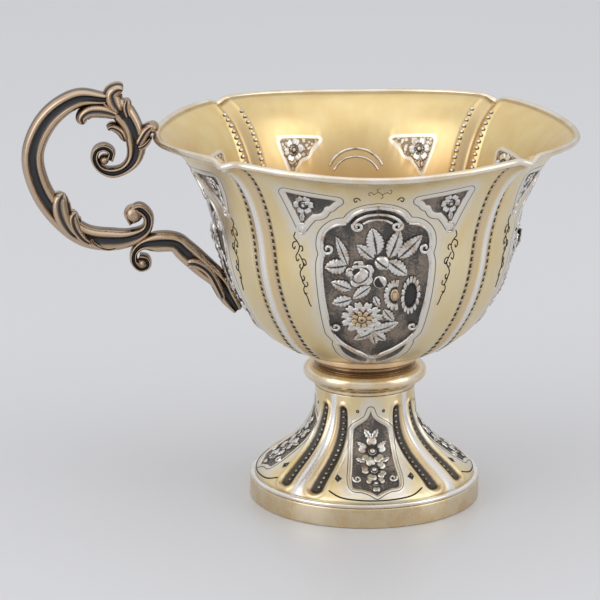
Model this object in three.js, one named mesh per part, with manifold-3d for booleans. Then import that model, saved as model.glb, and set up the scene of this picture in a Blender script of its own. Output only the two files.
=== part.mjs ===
// Handled cup: a footed silver-gilt cup with a four-lobed bowl and a cast scroll handle.
// Millimetres, +Z up, with the handle reaching toward -X.
import * as THREE from 'three';
import { mergeVertices } from 'three/addons/utils/BufferGeometryUtils.js';
import Module from 'manifold-3d';

const wasm = await Module();
wasm.setup();

// Solder seams: the space left between pieces that are not flat on each other.
const SEAM = 0.3;

// Foot, from the table up.
const FOOT_RADIUS = 26.4;
const BAND_HEIGHT = 4.6;
const BAND_WALL = 1.2;
const EDGE_WIRE_HEIGHT = 1.0;
const EDGE_WIRE_WIDTH = 2.4;
const EDGE_WIRE_ROUND = 0.8;
const FOOT_SHELL_HEIGHT = 20.6;
const FOOT_SHELL_WALL = 0.8;
const FOOT_SKIRT_INSET = 1.2;
const NECK_RADIUS = 11.4;
const NECK_LENGTH = 2.8;

// Stem: a half-round knop and the collar that carries the bowl.
const STEM_BORE = 6.0;
const KNOP_HEIGHT = 5.1;
const KNOP_RADIUS = 14.1;
const KNOP_COVE = 1.9;
const COLLAR_HEIGHT = 3.2;
const COLLAR_NECK_RADIUS = 10.9;
const SEAT_RADIUS = 12.9;
const SEAT_THICKNESS = 1.2;

// Bowl: the sheet's outside at the middle of a lobe.
const BELLY_RADIUS = 34.3;
const BELLY_HEIGHT = 27.7;
const BOWL_HEIGHT = 49.3;
const RIM_RADIUS = 48.6;
const BOWL_WALL = 0.9;
const RIM_WIRE_WIDTH = 1.6;
const RIM_WIRE_HEIGHT = 1.8;

// Lobes and the ribs between them.
const LOBES = 4;
const RIB_HALF_WIDTH = 2.2;
const PIT_ROW_OFFSET = 3.0;
const PANEL_EDGE_OFFSET = 4.0;
const RIB_HEIGHT = 0.8;
const PIT_ROW_DEPTH = 0.4;
const LOBE_DEPTH = 0.6;
const FOOT_LOBE_DEPTH = 0.7;
const RIM_LIFT = 1.3;
const RIM_DIP = 1.4;

// Handle castings: reach past the rim, thickness across, and widths in the handle's plane.
const HANDLE_REACH = 26.02;
const HANDLE_DEPTH = 5.6;
const STRAND_WIDTH = 5.0;
const VOLUTE_WIDTH = 2.5;
const CURL_WIDTH = 1.8;
const LEAF_WIDTH = 3.6;
const LEAF_TIP_WIDTH = 1.0;
const LEAF_DEPTH = 7.0;
const EYE_RADIUS = 1.2;
const BRACKET_ABOVE_SEAT = 9.6;
const BRACKET_SEAM = 6.4;
const WALL_STANDOFF = 1.9;
const BRACKET_BOW = 0.7;

// Heights stacked from the table.
const BAND_TOP = BAND_HEIGHT;
const SKIRT_Z = BAND_TOP + EDGE_WIRE_HEIGHT;
const KNOP_Z = SKIRT_Z + FOOT_SHELL_HEIGHT;
const COLLAR_Z = KNOP_Z + KNOP_HEIGHT;
const SEAT_Z = COLLAR_Z + COLLAR_HEIGHT;
const RIM_Z = SEAT_Z + BOWL_HEIGHT;

const TURN_SEGMENTS = 48;
const BOWL_ROWS = 6;
const FOOT_ROWS = 6;

const GILT = { color: 0xcdb06a, roughness: 0.28, metalness: 1.0 };
const SILVER = { color: 0xc9c9cc, roughness: 0.2, metalness: 1.0 };
const BRONZE = { color: 0x6b5a50, roughness: 0.42, metalness: 1.0 };

function piece(name, geometry, finish) {
  const mesh = new THREE.Mesh(geometry, new THREE.MeshStandardMaterial(finish));
  mesh.name = name;
  return mesh;
}

// Solids for joining and cutting.
function toSolid(geometry) {
  const bare = geometry.clone();
  bare.deleteAttribute('normal');
  bare.deleteAttribute('uv');
  const merged = mergeVertices(bare, 1e-4);
  return new wasm.Manifold(new wasm.Mesh({
    numProp: 3,
    vertProperties: Float32Array.from(merged.attributes.position.array),
    triVerts: Uint32Array.from(merged.index.array),
  }));
}

function toGeometry(solid) {
  const mesh = solid.getMesh();
  const geometry = new THREE.BufferGeometry();
  geometry.setAttribute('position', new THREE.BufferAttribute(mesh.vertProperties, mesh.numProp));
  geometry.setIndex(new THREE.BufferAttribute(mesh.triVerts, 1));
  geometry.computeVertexNormals();
  return geometry;
}

function join(geometries) {
  return geometries.map(toSolid).reduce((whole, part) => whole.add(part));
}

// A skin over a row of closed rings with equal point counts, looped back to the first ring or capped.
function skin(rings, looped) {
  const count = rings[0].length;
  const points = rings.flat();
  const faces = [];
  const bands = looped ? rings.length : rings.length - 1;
  for (let i = 0; i < bands; i += 1) {
    const near = i * count;
    const far = ((i + 1) % rings.length) * count;
    for (let k = 0; k < count; k += 1) {
      const next = (k + 1) % count;
      faces.push(near + k, near + next, far + next);
      faces.push(near + k, far + next, far + k);
    }
  }
  if (!looped) {
    for (const [ring, turned] of [[rings[0], true], [rings[rings.length - 1], false]]) {
      const base = turned ? 0 : (rings.length - 1) * count;
      const hub = points.length;
      points.push(ring.reduce((sum, p) => sum.add(p), new THREE.Vector3()).divideScalar(count));
      for (let k = 0; k < count; k += 1) {
        const next = (k + 1) % count;
        faces.push(hub, base + (turned ? next : k), base + (turned ? k : next));
      }
    }
  }
  const geometry = new THREE.BufferGeometry().setFromPoints(points);
  geometry.setIndex(faces);
  geometry.computeVertexNormals();
  return geometry;
}

// A turned ring from its outline of [radius, height] pairs, given counter-clockwise.
function turned(outline) {
  const points = outline.map(([r, z]) => new THREE.Vector2(r, z));
  points.push(points[0].clone());
  return new THREE.LatheGeometry(points, TURN_SEGMENTS).rotateX(Math.PI / 2);
}

// Lobes: how far a point at a given angle and nominal radius leaves the round form.
function hump(offset, halfWidth) {
  const share = Math.min(1, Math.abs(offset) / halfWidth);
  return Math.cos(share * Math.PI / 2) ** 2;
}

function ribShape(offset) {
  const rowWidth = PANEL_EDGE_OFFSET - PIT_ROW_OFFSET;
  const row = hump(Math.abs(offset) - PIT_ROW_OFFSET, rowWidth);
  return RIB_HEIGHT * hump(offset, RIB_HALF_WIDTH) - PIT_ROW_DEPTH * row;
}

// Offsets along the ring from one rib's middle, close over the rib and wide over the panel.
function ribOffsets(radius) {
  const half = [0, RIB_HALF_WIDTH / 2, RIB_HALF_WIDTH, PIT_ROW_OFFSET, PANEL_EDGE_OFFSET];
  const panelSteps = 5;
  const panel = Math.PI / LOBES * radius - PANEL_EDGE_OFFSET;
  for (let k = 1; k <= panelSteps; k += 1) half.push(PANEL_EDGE_OFFSET + panel * k / panelSteps);
  const mirrored = half.slice(1, -1).map((offset) => -offset).reverse();
  return [...mirrored, ...half];
}

// One lobed ring: strength sets how much of the lobing shows, lift how much of the rim's wave.
function lobedRing(radius, height, { strength, lobeDepth, lift }) {
  const ring = [];
  for (let lobe = 0; lobe < LOBES; lobe += 1) {
    const rib = (lobe + 0.5) * 2 * Math.PI / LOBES;
    for (const offset of ribOffsets(radius)) {
      const angle = offset / radius;
      const dip = lobeDepth * Math.cos(angle * LOBES / 2) ** 2;
      const r = radius + strength * (ribShape(offset) - dip);
      const wave = RIM_LIFT * Math.cos(angle * LOBES / 2) ** 2 - RIM_DIP * hump(offset, PIT_ROW_OFFSET);
      ring.push(new THREE.Vector3(
        r * Math.cos(rib + angle),
        r * Math.sin(rib + angle),
        height + lift * wave,
      ));
    }
  }
  return ring;
}

// Points down a profile with the unit normal that faces out of the sheet.
function sampled(curves, rows) {
  const stations = [];
  curves.forEach((curve, index) => {
    for (let i = index ? 1 : 0; i <= rows; i += 1) {
      const tangent = curve.getTangent(i / rows);
      stations.push({ at: curve.getPoint(i / rows), out: new THREE.Vector2(tangent.y, -tangent.x) });
    }
  });
  return stations;
}

// Bowl: the lower curve fills out to the belly and the upper one flares to the sheet's edge.
const SHEET_RADIUS = RIM_RADIUS - RIM_WIRE_WIDTH - SEAM;
const BOWL_PROFILE = (() => {
  const floor = new THREE.Vector2(SEAT_RADIUS, SEAT_Z);
  const belly = new THREE.Vector2(BELLY_RADIUS, SEAT_Z + BELLY_HEIGHT);
  const edge = new THREE.Vector2(SHEET_RADIUS, RIM_Z);
  const fill = belly.x - floor.x;
  const flare = edge.x - belly.x;
  const rise = edge.y - belly.y;
  return [
    new THREE.CubicBezierCurve(
      floor,
      new THREE.Vector2(floor.x + 0.52 * fill, floor.y + 0.055 * BELLY_HEIGHT),
      new THREE.Vector2(belly.x - 0.08 * fill, belly.y - 0.475 * BELLY_HEIGHT),
      belly,
    ),
    new THREE.CubicBezierCurve(
      belly,
      new THREE.Vector2(belly.x + 0.1 * flare, belly.y + 0.46 * rise),
      new THREE.Vector2(edge.x - 0.52 * flare, edge.y - 0.09 * rise),
      edge,
    ),
  ];
})();

function bowlForm(station) {
  const above = (station.at.y - SEAT_Z) / BOWL_HEIGHT;
  return {
    strength: THREE.MathUtils.smoothstep(above, 0, 0.2),
    lobeDepth: LOBE_DEPTH,
    lift: THREE.MathUtils.smoothstep(above, 0.55, 1),
  };
}

// The bowl's sheet, or its envelope where a margin is asked for.
function bowlGeometry(margin) {
  const stations = sampled(BOWL_PROFILE, BOWL_ROWS);
  const side = (distance) => stations.map((station) => lobedRing(
    station.at.x + station.out.x * distance,
    station.at.y + station.out.y * distance,
    bowlForm(station),
  ));
  const inside = side(-BOWL_WALL - margin);
  return skin([...side(margin), ...inside.reverse()], false);
}

function rimWireGeometry(margin) {
  const last = sampled(BOWL_PROFILE, BOWL_ROWS).pop();
  const along = new THREE.Vector2(-last.out.y, last.out.x);
  const centre = last.at.clone().addScaledVector(along, SEAM + RIM_WIRE_WIDTH / 2);
  centre.addScaledVector(last.out, -BOWL_WALL / 2);
  const sides = 8;
  const rings = [];
  for (let k = 0; k < sides; k += 1) {
    const turn = -2 * Math.PI * k / sides;
    const across = (RIM_WIRE_HEIGHT / 2 + margin) * Math.cos(turn);
    const outward = (RIM_WIRE_WIDTH / 2 + margin) * Math.sin(turn);
    const at = centre.clone().addScaledVector(last.out, -across).addScaledVector(along, outward);
    rings.push(lobedRing(at.x, at.y, bowlForm(last)));
  }
  return skin(rings, true);
}

// Foot shell: a trumpet with a straight neck, hollow and open below.
function footShellGeometry() {
  const skirt = new THREE.Vector2(FOOT_RADIUS - FOOT_SKIRT_INSET, SKIRT_Z);
  const neck = new THREE.Vector2(NECK_RADIUS, KNOP_Z - NECK_LENGTH);
  const top = new THREE.Vector2(NECK_RADIUS, KNOP_Z);
  const flare = skirt.x - neck.x;
  const rise = neck.y - skirt.y;
  const trumpet = new THREE.CubicBezierCurve(
    skirt,
    new THREE.Vector2(skirt.x - 0.12 * flare, skirt.y + 0.25 * rise),
    new THREE.Vector2(neck.x + 0.015 * flare, skirt.y + 0.39 * rise),
    neck,
  );
  const stations = [...sampled([trumpet], FOOT_ROWS), { at: top, out: new THREE.Vector2(1, 0) }];
  const form = (station) => {
    const up = (station.at.y - SKIRT_Z) / (neck.y - SKIRT_Z);
    const strength = THREE.MathUtils.smoothstep(up, 0, 0.12) * THREE.MathUtils.smoothstep(1 - up, 0.1, 0.6);
    return { strength, lobeDepth: FOOT_LOBE_DEPTH, lift: 0 };
  };
  const outside = stations.map((s) => lobedRing(s.at.x, s.at.y, form(s)));
  const inside = stations.map((s, i) => {
    const end = i === 0 || i === stations.length - 1;
    const level = end ? s.at.y : s.at.y - s.out.y * FOOT_SHELL_WALL;
    const radius = end ? s.at.x - FOOT_SHELL_WALL : s.at.x - s.out.x * FOOT_SHELL_WALL;
    return lobedRing(radius, level, form(s));
  });
  return skin([...outside, ...inside.reverse()], true);
}

function footBandGeometry() {
  const inner = FOOT_RADIUS - BAND_WALL;
  return turned([[inner, 0], [FOOT_RADIUS, 0], [FOOT_RADIUS, BAND_TOP], [inner, BAND_TOP]]);
}

// Half-round edge wire on top of the band, with a flat inner ledge for the foot shell.
function footEdgeWireGeometry() {
  const inner = FOOT_RADIUS - EDGE_WIRE_WIDTH;
  const round = Math.min(EDGE_WIRE_ROUND, 0.9 * EDGE_WIRE_HEIGHT, 0.9 * FOOT_SKIRT_INSET);
  const outline = [[inner, BAND_TOP], [FOOT_RADIUS, BAND_TOP]];
  for (let k = 0; k <= 4; k += 1) {
    const turn = k * Math.PI / 8;
    outline.push([
      FOOT_RADIUS - round + round * Math.cos(turn),
      SKIRT_Z - round + round * Math.sin(turn),
    ]);
  }
  outline.push([inner, SKIRT_Z]);
  return turned(outline);
}

function knopGeometry() {
  const bead = (KNOP_HEIGHT - KNOP_COVE) / 2;
  const middle = COLLAR_Z - bead;
  const overhang = KNOP_RADIUS - NECK_RADIUS;
  const outline = [[STEM_BORE, KNOP_Z], [NECK_RADIUS, KNOP_Z]];
  outline.push([NECK_RADIUS + 0.25 * overhang, KNOP_Z + 0.7 * KNOP_COVE]);
  for (let k = 0; k <= 6; k += 1) {
    const turn = (k - 3) * Math.PI / 6;
    const reach = NECK_RADIUS + overhang * (0.5 + 0.5 * Math.cos(turn));
    outline.push([reach, middle + bead * Math.sin(turn)]);
  }
  outline.push([STEM_BORE, COLLAR_Z]);
  return turned(outline);
}

function collarGeometry() {
  const shelf = SEAT_Z - SEAT_THICKNESS;
  const corner = (SEAT_RADIUS - COLLAR_NECK_RADIUS) / 3;
  return turned([
    [STEM_BORE, COLLAR_Z],
    [COLLAR_NECK_RADIUS + corner, COLLAR_Z],
    [COLLAR_NECK_RADIUS, (COLLAR_Z + shelf) / 2],
    [COLLAR_NECK_RADIUS + corner, shelf],
    [SEAT_RADIUS, shelf],
    [SEAT_RADIUS, SEAT_Z],
    [STEM_BORE, SEAT_Z],
  ]);
}

// Handle: strands swept along curves in the handle's plane, as [out, up, width] from the cup's axis and
// the table, out being away from the cup. The section is channelled along both cheeks.
const CHANNELLED = [
  [1, 0], [0.9, 0.7], [0.55, 1], [0.2, 0.74], [-0.2, 0.74], [-0.55, 1], [-0.9, 0.7],
  [-1, 0], [-0.9, -0.7], [-0.55, -1], [-0.2, -0.74], [0.2, -0.74], [0.55, -1], [0.9, -0.7],
];
const LEAFLIKE = [
  [0.55, 0], [0.35, 0.5], [-0.35, 1], [-0.8, 0.8], [-0.6, 0.35],
  [-0.9, 0], [-0.6, -0.35], [-0.8, -0.8], [-0.35, -1], [0.35, -0.5],
];

function strand(points, { section, depth, margin, steps }) {
  const curve = new THREE.CatmullRomCurve3(points.map(([out, up, width]) => (
    new THREE.Vector3(out, width, up)
  )), false, 'centripetal');
  const rings = [];
  for (let i = 0; i <= steps; i += 1) {
    const t = i / steps;
    const at = curve.getPoint(t);
    const tangent = curve.getTangent(t);
    const side = new THREE.Vector3(tangent.z, 0, -tangent.x).normalize();
    const taper = 0.75 + 0.25 * Math.min(1, at.y / STRAND_WIDTH);
    rings.push(section.map(([n, y]) => new THREE.Vector3(
      -(at.x + side.x * n * (at.y / 2 + margin)),
      y * (depth / 2 * taper + margin),
      at.z + side.z * n * (at.y / 2 + margin),
    )));
  }
  return skin(rings.reverse(), false);
}

// The castings are drawn from the rim at the middle of the handle's lobe, on a grid that has so many
// steps out to the back of the large C.
const GRID_STEPS = 26;

function fromRim(route) {
  const step = HANDLE_REACH / GRID_STEPS;
  return route.map(([out, up, width]) => [RIM_RADIUS + out * step, RIM_Z + up * step, width]);
}

function eyeBall(place, margin) {
  const [[out, up]] = fromRim([place]);
  const ball = new THREE.SphereGeometry(1, 10, 8);
  ball.scale(EYE_RADIUS + margin, HANDLE_DEPTH / 2 + margin, EYE_RADIUS + margin);
  return ball.translate(-out, 0, up);
}

function cScrollSolid(margin) {
  const bar = { section: CHANNELLED, depth: HANDLE_DEPTH, margin, steps: 32 };
  const leaf = { section: LEAFLIKE, depth: LEAF_DEPTH, margin, steps: 6 };
  return join([
    strand(fromRim([
      [9.6, 9.3, VOLUTE_WIDTH],
      [15.8, 9.4, 0.85 * STRAND_WIDTH],
      [22.4, 4.8, STRAND_WIDTH],
      [26.0, -2.9, STRAND_WIDTH],
      [24.9, -10.1, STRAND_WIDTH],
      [21.1, -16.7, STRAND_WIDTH],
      [15.0, -21.9, STRAND_WIDTH],
      [8.5, -23.0, STRAND_WIDTH],
      [4.0, -22.4, 0.75 * STRAND_WIDTH],
      [0.9, -20.5, VOLUTE_WIDTH],
      [0.5, -17.7, VOLUTE_WIDTH],
      [2.5, -15.8, VOLUTE_WIDTH],
      [4.8, -17.3, CURL_WIDTH],
      [4.0, -19.2, CURL_WIDTH],
    ]), bar),
    strand(fromRim([
      [23.0, -12.4, LEAF_WIDTH],
      [20.2, -11.8, 0.75 * LEAF_WIDTH],
      [18.2, -13.6, LEAF_TIP_WIDTH],
    ]), leaf),
    strand(fromRim([
      [20.2, -16.5, LEAF_WIDTH],
      [17.4, -16.3, 0.7 * LEAF_WIDTH],
      [15.8, -17.9, LEAF_TIP_WIDTH],
    ]), leaf),
  ]);
}

function topScrollSolid(margin) {
  const bar = { section: CHANNELLED, depth: HANDLE_DEPTH, margin, steps: 32 };
  const leaf = { section: LEAFLIKE, depth: LEAF_DEPTH, margin, steps: 8 };
  const eye = [10.1, -4.5];
  return join([
    strand(fromRim([
      [9.6, 9.0, VOLUTE_WIDTH],
      [6.6, 7.0, STRAND_WIDTH],
      [4.0, 3.3, 0.95 * STRAND_WIDTH],
      [2.9, -1.2, 0.9 * STRAND_WIDTH],
      [3.6, -4.6, 0.7 * STRAND_WIDTH],
      [5.6, -6.7, VOLUTE_WIDTH],
      [8.4, -7.5, VOLUTE_WIDTH],
      [11.1, -6.5, CURL_WIDTH],
      [12.3, -4.2, CURL_WIDTH],
      [11.7, -2.3, CURL_WIDTH],
      [10.0, -1.7, CURL_WIDTH],
      [8.5, -2.8, CURL_WIDTH],
      [8.9, -4.6, CURL_WIDTH],
    ]), bar),
    eyeBall(eye, margin),
    strand(fromRim([
      [8.0, 8.2, LEAF_WIDTH],
      [8.0, 11.0, LEAF_WIDTH],
      [6.6, 12.5, 0.8 * LEAF_WIDTH],
      [4.9, 12.8, LEAF_TIP_WIDTH],
    ]), leaf),
    strand(fromRim([
      [6.8, 6.6, LEAF_WIDTH],
      [5.6, 8.6, 0.75 * LEAF_WIDTH],
      [4.4, 9.3, LEAF_TIP_WIDTH],
    ]), leaf),
    strand(fromRim([
      [9.2, 7.4, LEAF_WIDTH],
      [13.2, 7.0, 0.9 * LEAF_WIDTH],
      [15.2, 5.4, 0.8 * LEAF_WIDTH],
      [14.4, 3.6, LEAF_TIP_WIDTH],
    ]), leaf),
    strand(fromRim([
      [3.6, 2.4, LEAF_WIDTH],
      [0.9, 2.7, 0.7 * LEAF_WIDTH],
      [-1.6, 1.9, LEAF_TIP_WIDTH],
    ]), leaf),
    strand(fromRim([
      [3.6, -0.6, 0.7 * LEAF_WIDTH],
      [1.2, -1.6, 0.6 * LEAF_WIDTH],
      [-1.4, -1.9, LEAF_TIP_WIDTH],
    ]), { ...leaf, depth: HANDLE_DEPTH }),
  ]);
}

// The bracket runs from its own small volute under the C-scroll down to the bowl's wall.
function wallRadius(above) {
  const [lower] = BOWL_PROFILE;
  return lower.getPoints(60).find((p) => p.y >= SEAT_Z + above).x;
}

function bracketSolid(margin) {
  const alongWall = (above, width) => [wallRadius(above) + WALL_STANDOFF, SEAT_Z + above, width];
  const landing = alongWall(BRACKET_ABOVE_SEAT + BRACKET_SEAM, 0.85 * STRAND_WIDTH);
  const arch = fromRim([
    [2.6, -27.2, CURL_WIDTH],
    [1.0, -27.6, CURL_WIDTH],
    [0.8, -29.0, CURL_WIDTH],
    [2.3, -29.6, CURL_WIDTH],
    [3.8, -28.1, CURL_WIDTH],
    [3.7, -25.9, CURL_WIDTH],
    [2.0, -24.2, VOLUTE_WIDTH],
    [-1.0, -23.7, 0.9 * STRAND_WIDTH],
    [-5.6, -23.9, 0.9 * STRAND_WIDTH],
  ]);
  const elbow = arch[arch.length - 1];
  const descent = [1 / 3, 2 / 3].map((share) => [
    THREE.MathUtils.lerp(elbow[0], landing[0], share) + BRACKET_BOW,
    THREE.MathUtils.lerp(elbow[1], landing[1], share) + BRACKET_BOW,
    STRAND_WIDTH,
  ]);
  const seam = [
    landing,
    alongWall(BRACKET_ABOVE_SEAT + BRACKET_SEAM / 2, 0.85 * STRAND_WIDTH),
    alongWall(BRACKET_ABOVE_SEAT, VOLUTE_WIDTH),
  ];
  return join([
    strand([...arch, ...descent, ...seam], { section: CHANNELLED, depth: HANDLE_DEPTH, margin, steps: 32 }),
    eyeBall([1.9, -28.3], margin),
  ]);
}

function handleCastings() {
  const topScroll = topScrollSolid(0)
    .subtract(toSolid(rimWireGeometry(SEAM)))
    .subtract(toSolid(bowlGeometry(SEAM)));
  const cScroll = cScrollSolid(0).subtract(topScrollSolid(SEAM));
  const bracket = bracketSolid(0)
    .subtract(cScrollSolid(SEAM))
    .subtract(toSolid(bowlGeometry(SEAM)));
  return [
    piece('handle_top_scroll', toGeometry(topScroll), BRONZE),
    piece('handle_c_scroll', toGeometry(cScroll), BRONZE),
    piece('handle_bracket', toGeometry(bracket), BRONZE),
  ];
}

const cup = new THREE.Group();
cup.add(
  piece('foot_band', footBandGeometry(), GILT),
  piece('foot_edge_wire', footEdgeWireGeometry(), SILVER),
  piece('foot_shell', footShellGeometry(), GILT),
  piece('knop_ring', knopGeometry(), GILT),
  piece('bowl_collar', collarGeometry(), GILT),
  piece('bowl', bowlGeometry(0), GILT),
  piece('rim_wire', rimWireGeometry(0), SILVER),
  ...handleCastings(),
);

// The part's origin is the middle of its footprint on the table.
const bounds = new THREE.Box3().setFromObject(cup);
cup.position.x = -(bounds.min.x + bounds.max.x) / 2;

export default cup;
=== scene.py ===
# %% [markdown]
# # A footed silver-gilt cup
# The solids of this cup were packed earlier as a fixed frame. This lesson dresses them: it keeps
# every size and place, and adds what a silversmith adds with hammer, punch and burnisher. All
# lengths below are millimetres measured from the cup's own axis and from the table, and they turn
# into Blender's metres only when a mesh is made.

# %% Load the frame
import math

import bmesh
import bpy
import numpy as np
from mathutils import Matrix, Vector


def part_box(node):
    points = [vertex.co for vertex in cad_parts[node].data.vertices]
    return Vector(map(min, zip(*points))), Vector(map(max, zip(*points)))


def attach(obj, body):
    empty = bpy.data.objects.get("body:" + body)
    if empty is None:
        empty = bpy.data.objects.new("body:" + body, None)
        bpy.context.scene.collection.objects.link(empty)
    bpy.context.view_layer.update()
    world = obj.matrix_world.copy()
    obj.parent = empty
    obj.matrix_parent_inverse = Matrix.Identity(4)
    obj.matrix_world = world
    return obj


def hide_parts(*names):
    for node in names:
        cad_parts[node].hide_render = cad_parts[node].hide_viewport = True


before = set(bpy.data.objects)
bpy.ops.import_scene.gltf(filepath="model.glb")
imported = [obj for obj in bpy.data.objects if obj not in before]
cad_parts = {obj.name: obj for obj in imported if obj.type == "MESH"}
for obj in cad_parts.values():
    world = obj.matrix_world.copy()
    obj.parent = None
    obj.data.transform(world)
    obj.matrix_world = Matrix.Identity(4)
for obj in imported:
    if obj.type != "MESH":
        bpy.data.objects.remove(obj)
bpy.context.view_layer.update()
MM = 0.001

# %% [markdown]
# The frame already knows most sizes. Reading them from the nodes' boxes, instead of typing them
# again, keeps the dressed cup exactly where the solids are.

# %% Read the sizes from the frame
def node_span(node):
    low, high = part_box(node)
    return np.array(low) / MM, np.array(high) / MM


def half_width(node):
    low, high = node_span(node)
    return (high[1] - low[1]) / 2


band_low, band_high = node_span("foot_band")
AXIS_X = (band_low[0] + band_high[0]) / 2
FOOT_RADIUS = half_width("foot_band")
BAND_TOP = band_high[2]
SKIRT_Z = node_span("foot_edge_wire")[1][2]
KNOP_Z = node_span("knop_ring")[0][2]
COLLAR_Z = node_span("bowl_collar")[0][2]
SEAT_Z = node_span("bowl")[0][2]
SEAT_RADIUS = half_width("bowl_collar")
SHEET_RADIUS = half_width("bowl")
RIM_RADIUS = half_width("rim_wire")
KNOP_RADIUS = half_width("knop_ring")
print(f"axis at x = {AXIS_X:.2f} mm, bowl seat at z = {SEAT_Z:.2f} mm, rim radius {RIM_RADIUS:.2f} mm")

# %% [markdown]
# A mesh helper comes first. It takes points around the cup's axis, shifts them to the axis in the
# frame, and can store one number per point as an attribute, which a material reads later to know
# what part of the chasing it is on.

# %% Helpers for meshes
def new_object(name, points, faces, values=None):
    mesh = bpy.data.meshes.new(name)
    placed = (np.asarray(points, float) + (AXIS_X, 0, 0)) * MM
    mesh.from_pydata(placed.tolist(), [], [tuple(face) for face in faces])
    for key, numbers in (values or {}).items():
        layer = mesh.attributes.new(key, "FLOAT", "POINT")
        layer.data.foreach_set("value", np.asarray(numbers, np.float32))
    mesh.shade_smooth()
    obj = bpy.data.objects.new(name, mesh)
    bpy.context.collection.objects.link(obj)
    return obj


def grid_faces(rows, columns, first=0, closed=False):
    """Quads between rows of points; closed joins the last column back to the first."""
    faces = []
    for i in range(rows - 1):
        for k in range(columns if closed else columns - 1):
            near = first + i * columns
            nxt = (k + 1) % columns
            faces.append((near + k, near + nxt, near + columns + nxt, near + columns + k))
    return faces


def face_outwards(obj):
    """Joins doubled points and turns every face of a closed shape outwards."""
    shape = bmesh.new()
    shape.from_mesh(obj.data)
    bmesh.ops.remove_doubles(shape, verts=shape.verts, dist=1e-6)
    bmesh.ops.recalc_face_normals(shape, faces=shape.faces)
    shape.to_mesh(obj.data)
    shape.free()


def finish_piece(obj, material, slot, *nodes):
    """Hangs a finished piece on the cup's one body with its material, and hides the nodes it stands for;
    slot is not used.
    """
    obj.data.materials.clear()
    obj.data.materials.append(material)
    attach(obj, "root")
    if nodes:
        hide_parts(*nodes)
    print(f"{obj.name}: {len(obj.data.polygons)} faces")

# %% [markdown]
# Every node tree below, for shaders and for Geometry Nodes, is written with two small classes. A
# Wire is a socket that can be added, multiplied and so on, which adds the Math nodes. A Board holds
# a tree and makes any other node.

# %% Helpers for node trees
class Wire:
    """A socket that takes part in arithmetic: each operator adds a Math node."""

    def __init__(self, board, socket):
        self.board = board
        self.socket = socket

    def _math(self, operation, first, second):
        return self.board.node("ShaderNodeMath", {"operation": operation}, {0: first, 1: second})

    def __add__(self, other):
        return self._math("ADD", self, other)

    def __mul__(self, other):
        return self._math("MULTIPLY", self, other)

    def __sub__(self, other):
        return self._math("SUBTRACT", self, other)

    def __rsub__(self, other):
        return self._math("SUBTRACT", other, self)

    def __truediv__(self, other):
        return self._math("DIVIDE", self, other)

    def __rtruediv__(self, other):
        return self._math("DIVIDE", other, self)

    __radd__ = __add__
    __rmul__ = __mul__


class Board:
    """A node tree and the one way to add a node: its type, its settings, then its sockets."""

    def __init__(self, tree):
        self.tree = tree

    def node(self, kind, settings=None, sockets=None, output=0):
        made = self.tree.nodes.new(kind)
        for key, value in (settings or {}).items():
            if key == "stops":
                for stop, (place, colour) in zip(self._stops(made, len(value)), value):
                    stop.position = place
                    stop.color = (*colour, 1)
            else:
                setattr(made, key, value)
        for key, value in (sockets or {}).items():
            self.feed(value, made.inputs[key])
        return Wire(self, made.outputs[output]) if made.outputs else made

    def feed(self, value, socket):
        if isinstance(value, Wire):
            self.tree.links.new(value.socket, socket)
        else:
            socket.default_value = value

    @staticmethod
    def _stops(made, count):
        elements = made.color_ramp.elements
        while len(elements) < count:
            elements.new(1.0)
        return elements


class Paint(Board):
    """A material under way, with the few nodes that every finish here uses."""

    def __init__(self, name):
        self.material = bpy.data.materials.new(name)
        self.material.use_nodes = True
        super().__init__(self.material.node_tree)
        self.shader = self.tree.nodes["Principled BSDF"]
        self.place = self.node("ShaderNodeTexCoord", output=3)

    def noise(self, size, detail=3.0, stretch=(1, 1, 1)):
        """Soft blotches about size millimetres across, stretched along an axis if asked."""
        turned = self.node("ShaderNodeMapping", None, {"Vector": self.place, "Scale": stretch})
        return self.node("ShaderNodeTexNoise", None,
                         {"Vector": turned, "Scale": 1 / (size * MM), "Detail": detail, "Roughness": 0.55})

    def step(self, value, start, end, low=0.0, high=1.0):
        """Smooth rise from low to high as the value goes from start to end."""
        return self.node("ShaderNodeMapRange", {"interpolation_type": "SMOOTHSTEP"},
                         {0: value, 1: start, 2: end, 3: low, 4: high})

    def mix(self, factor, first, second):
        def solid(colour):
            return colour if isinstance(colour, Wire) else (*colour, 1)
        return self.node("ShaderNodeMix", {"data_type": "RGBA"},
                         {0: factor, 6: solid(first), 7: solid(second)}, output=2)

    def attribute(self, key):
        return self.node("ShaderNodeAttribute", {"attribute_name": key}, output=2)

    def line(self, value, centre, half):
        """One on a thin line where the value passes centre."""
        away = self.node("ShaderNodeMath", {"operation": "ABSOLUTE"}, {0: value - centre})
        return self.step(away, half, half * 0.5)

    def cells(self, size):
        """Closely set punch marks: distance from the middle of each cell, about size millimetres apart."""
        return self.node("ShaderNodeTexVoronoi", None, {"Vector": self.place, "Scale": 1 / (size * MM)})

    def bump(self, height, strength, distance):
        return self.node("ShaderNodeBump", None,
                         {"Height": height, "Strength": strength, "Distance": distance * MM})

    def surface(self, **sockets):
        names = {
            "colour": "Base Color",
            "roughness": "Roughness",
            "metallic": "Metallic",
            "normal": "Normal",
        }
        for key, value in sockets.items():
            self.feed(value, self.shader.inputs[names[key]])
        return self.material


print("helpers ready")

# %% [markdown]
# ## Stage, light and camera
# The cup stands on one pale, slightly glossy sheet. Polished metal is only as good as what it
# mirrors, so the light is a bright tent: a pale world, a large soft lamp on each side and one
# above. The camera stands where the photographer stood: low, a little toward the handle's side,
# with a long lens.

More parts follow.
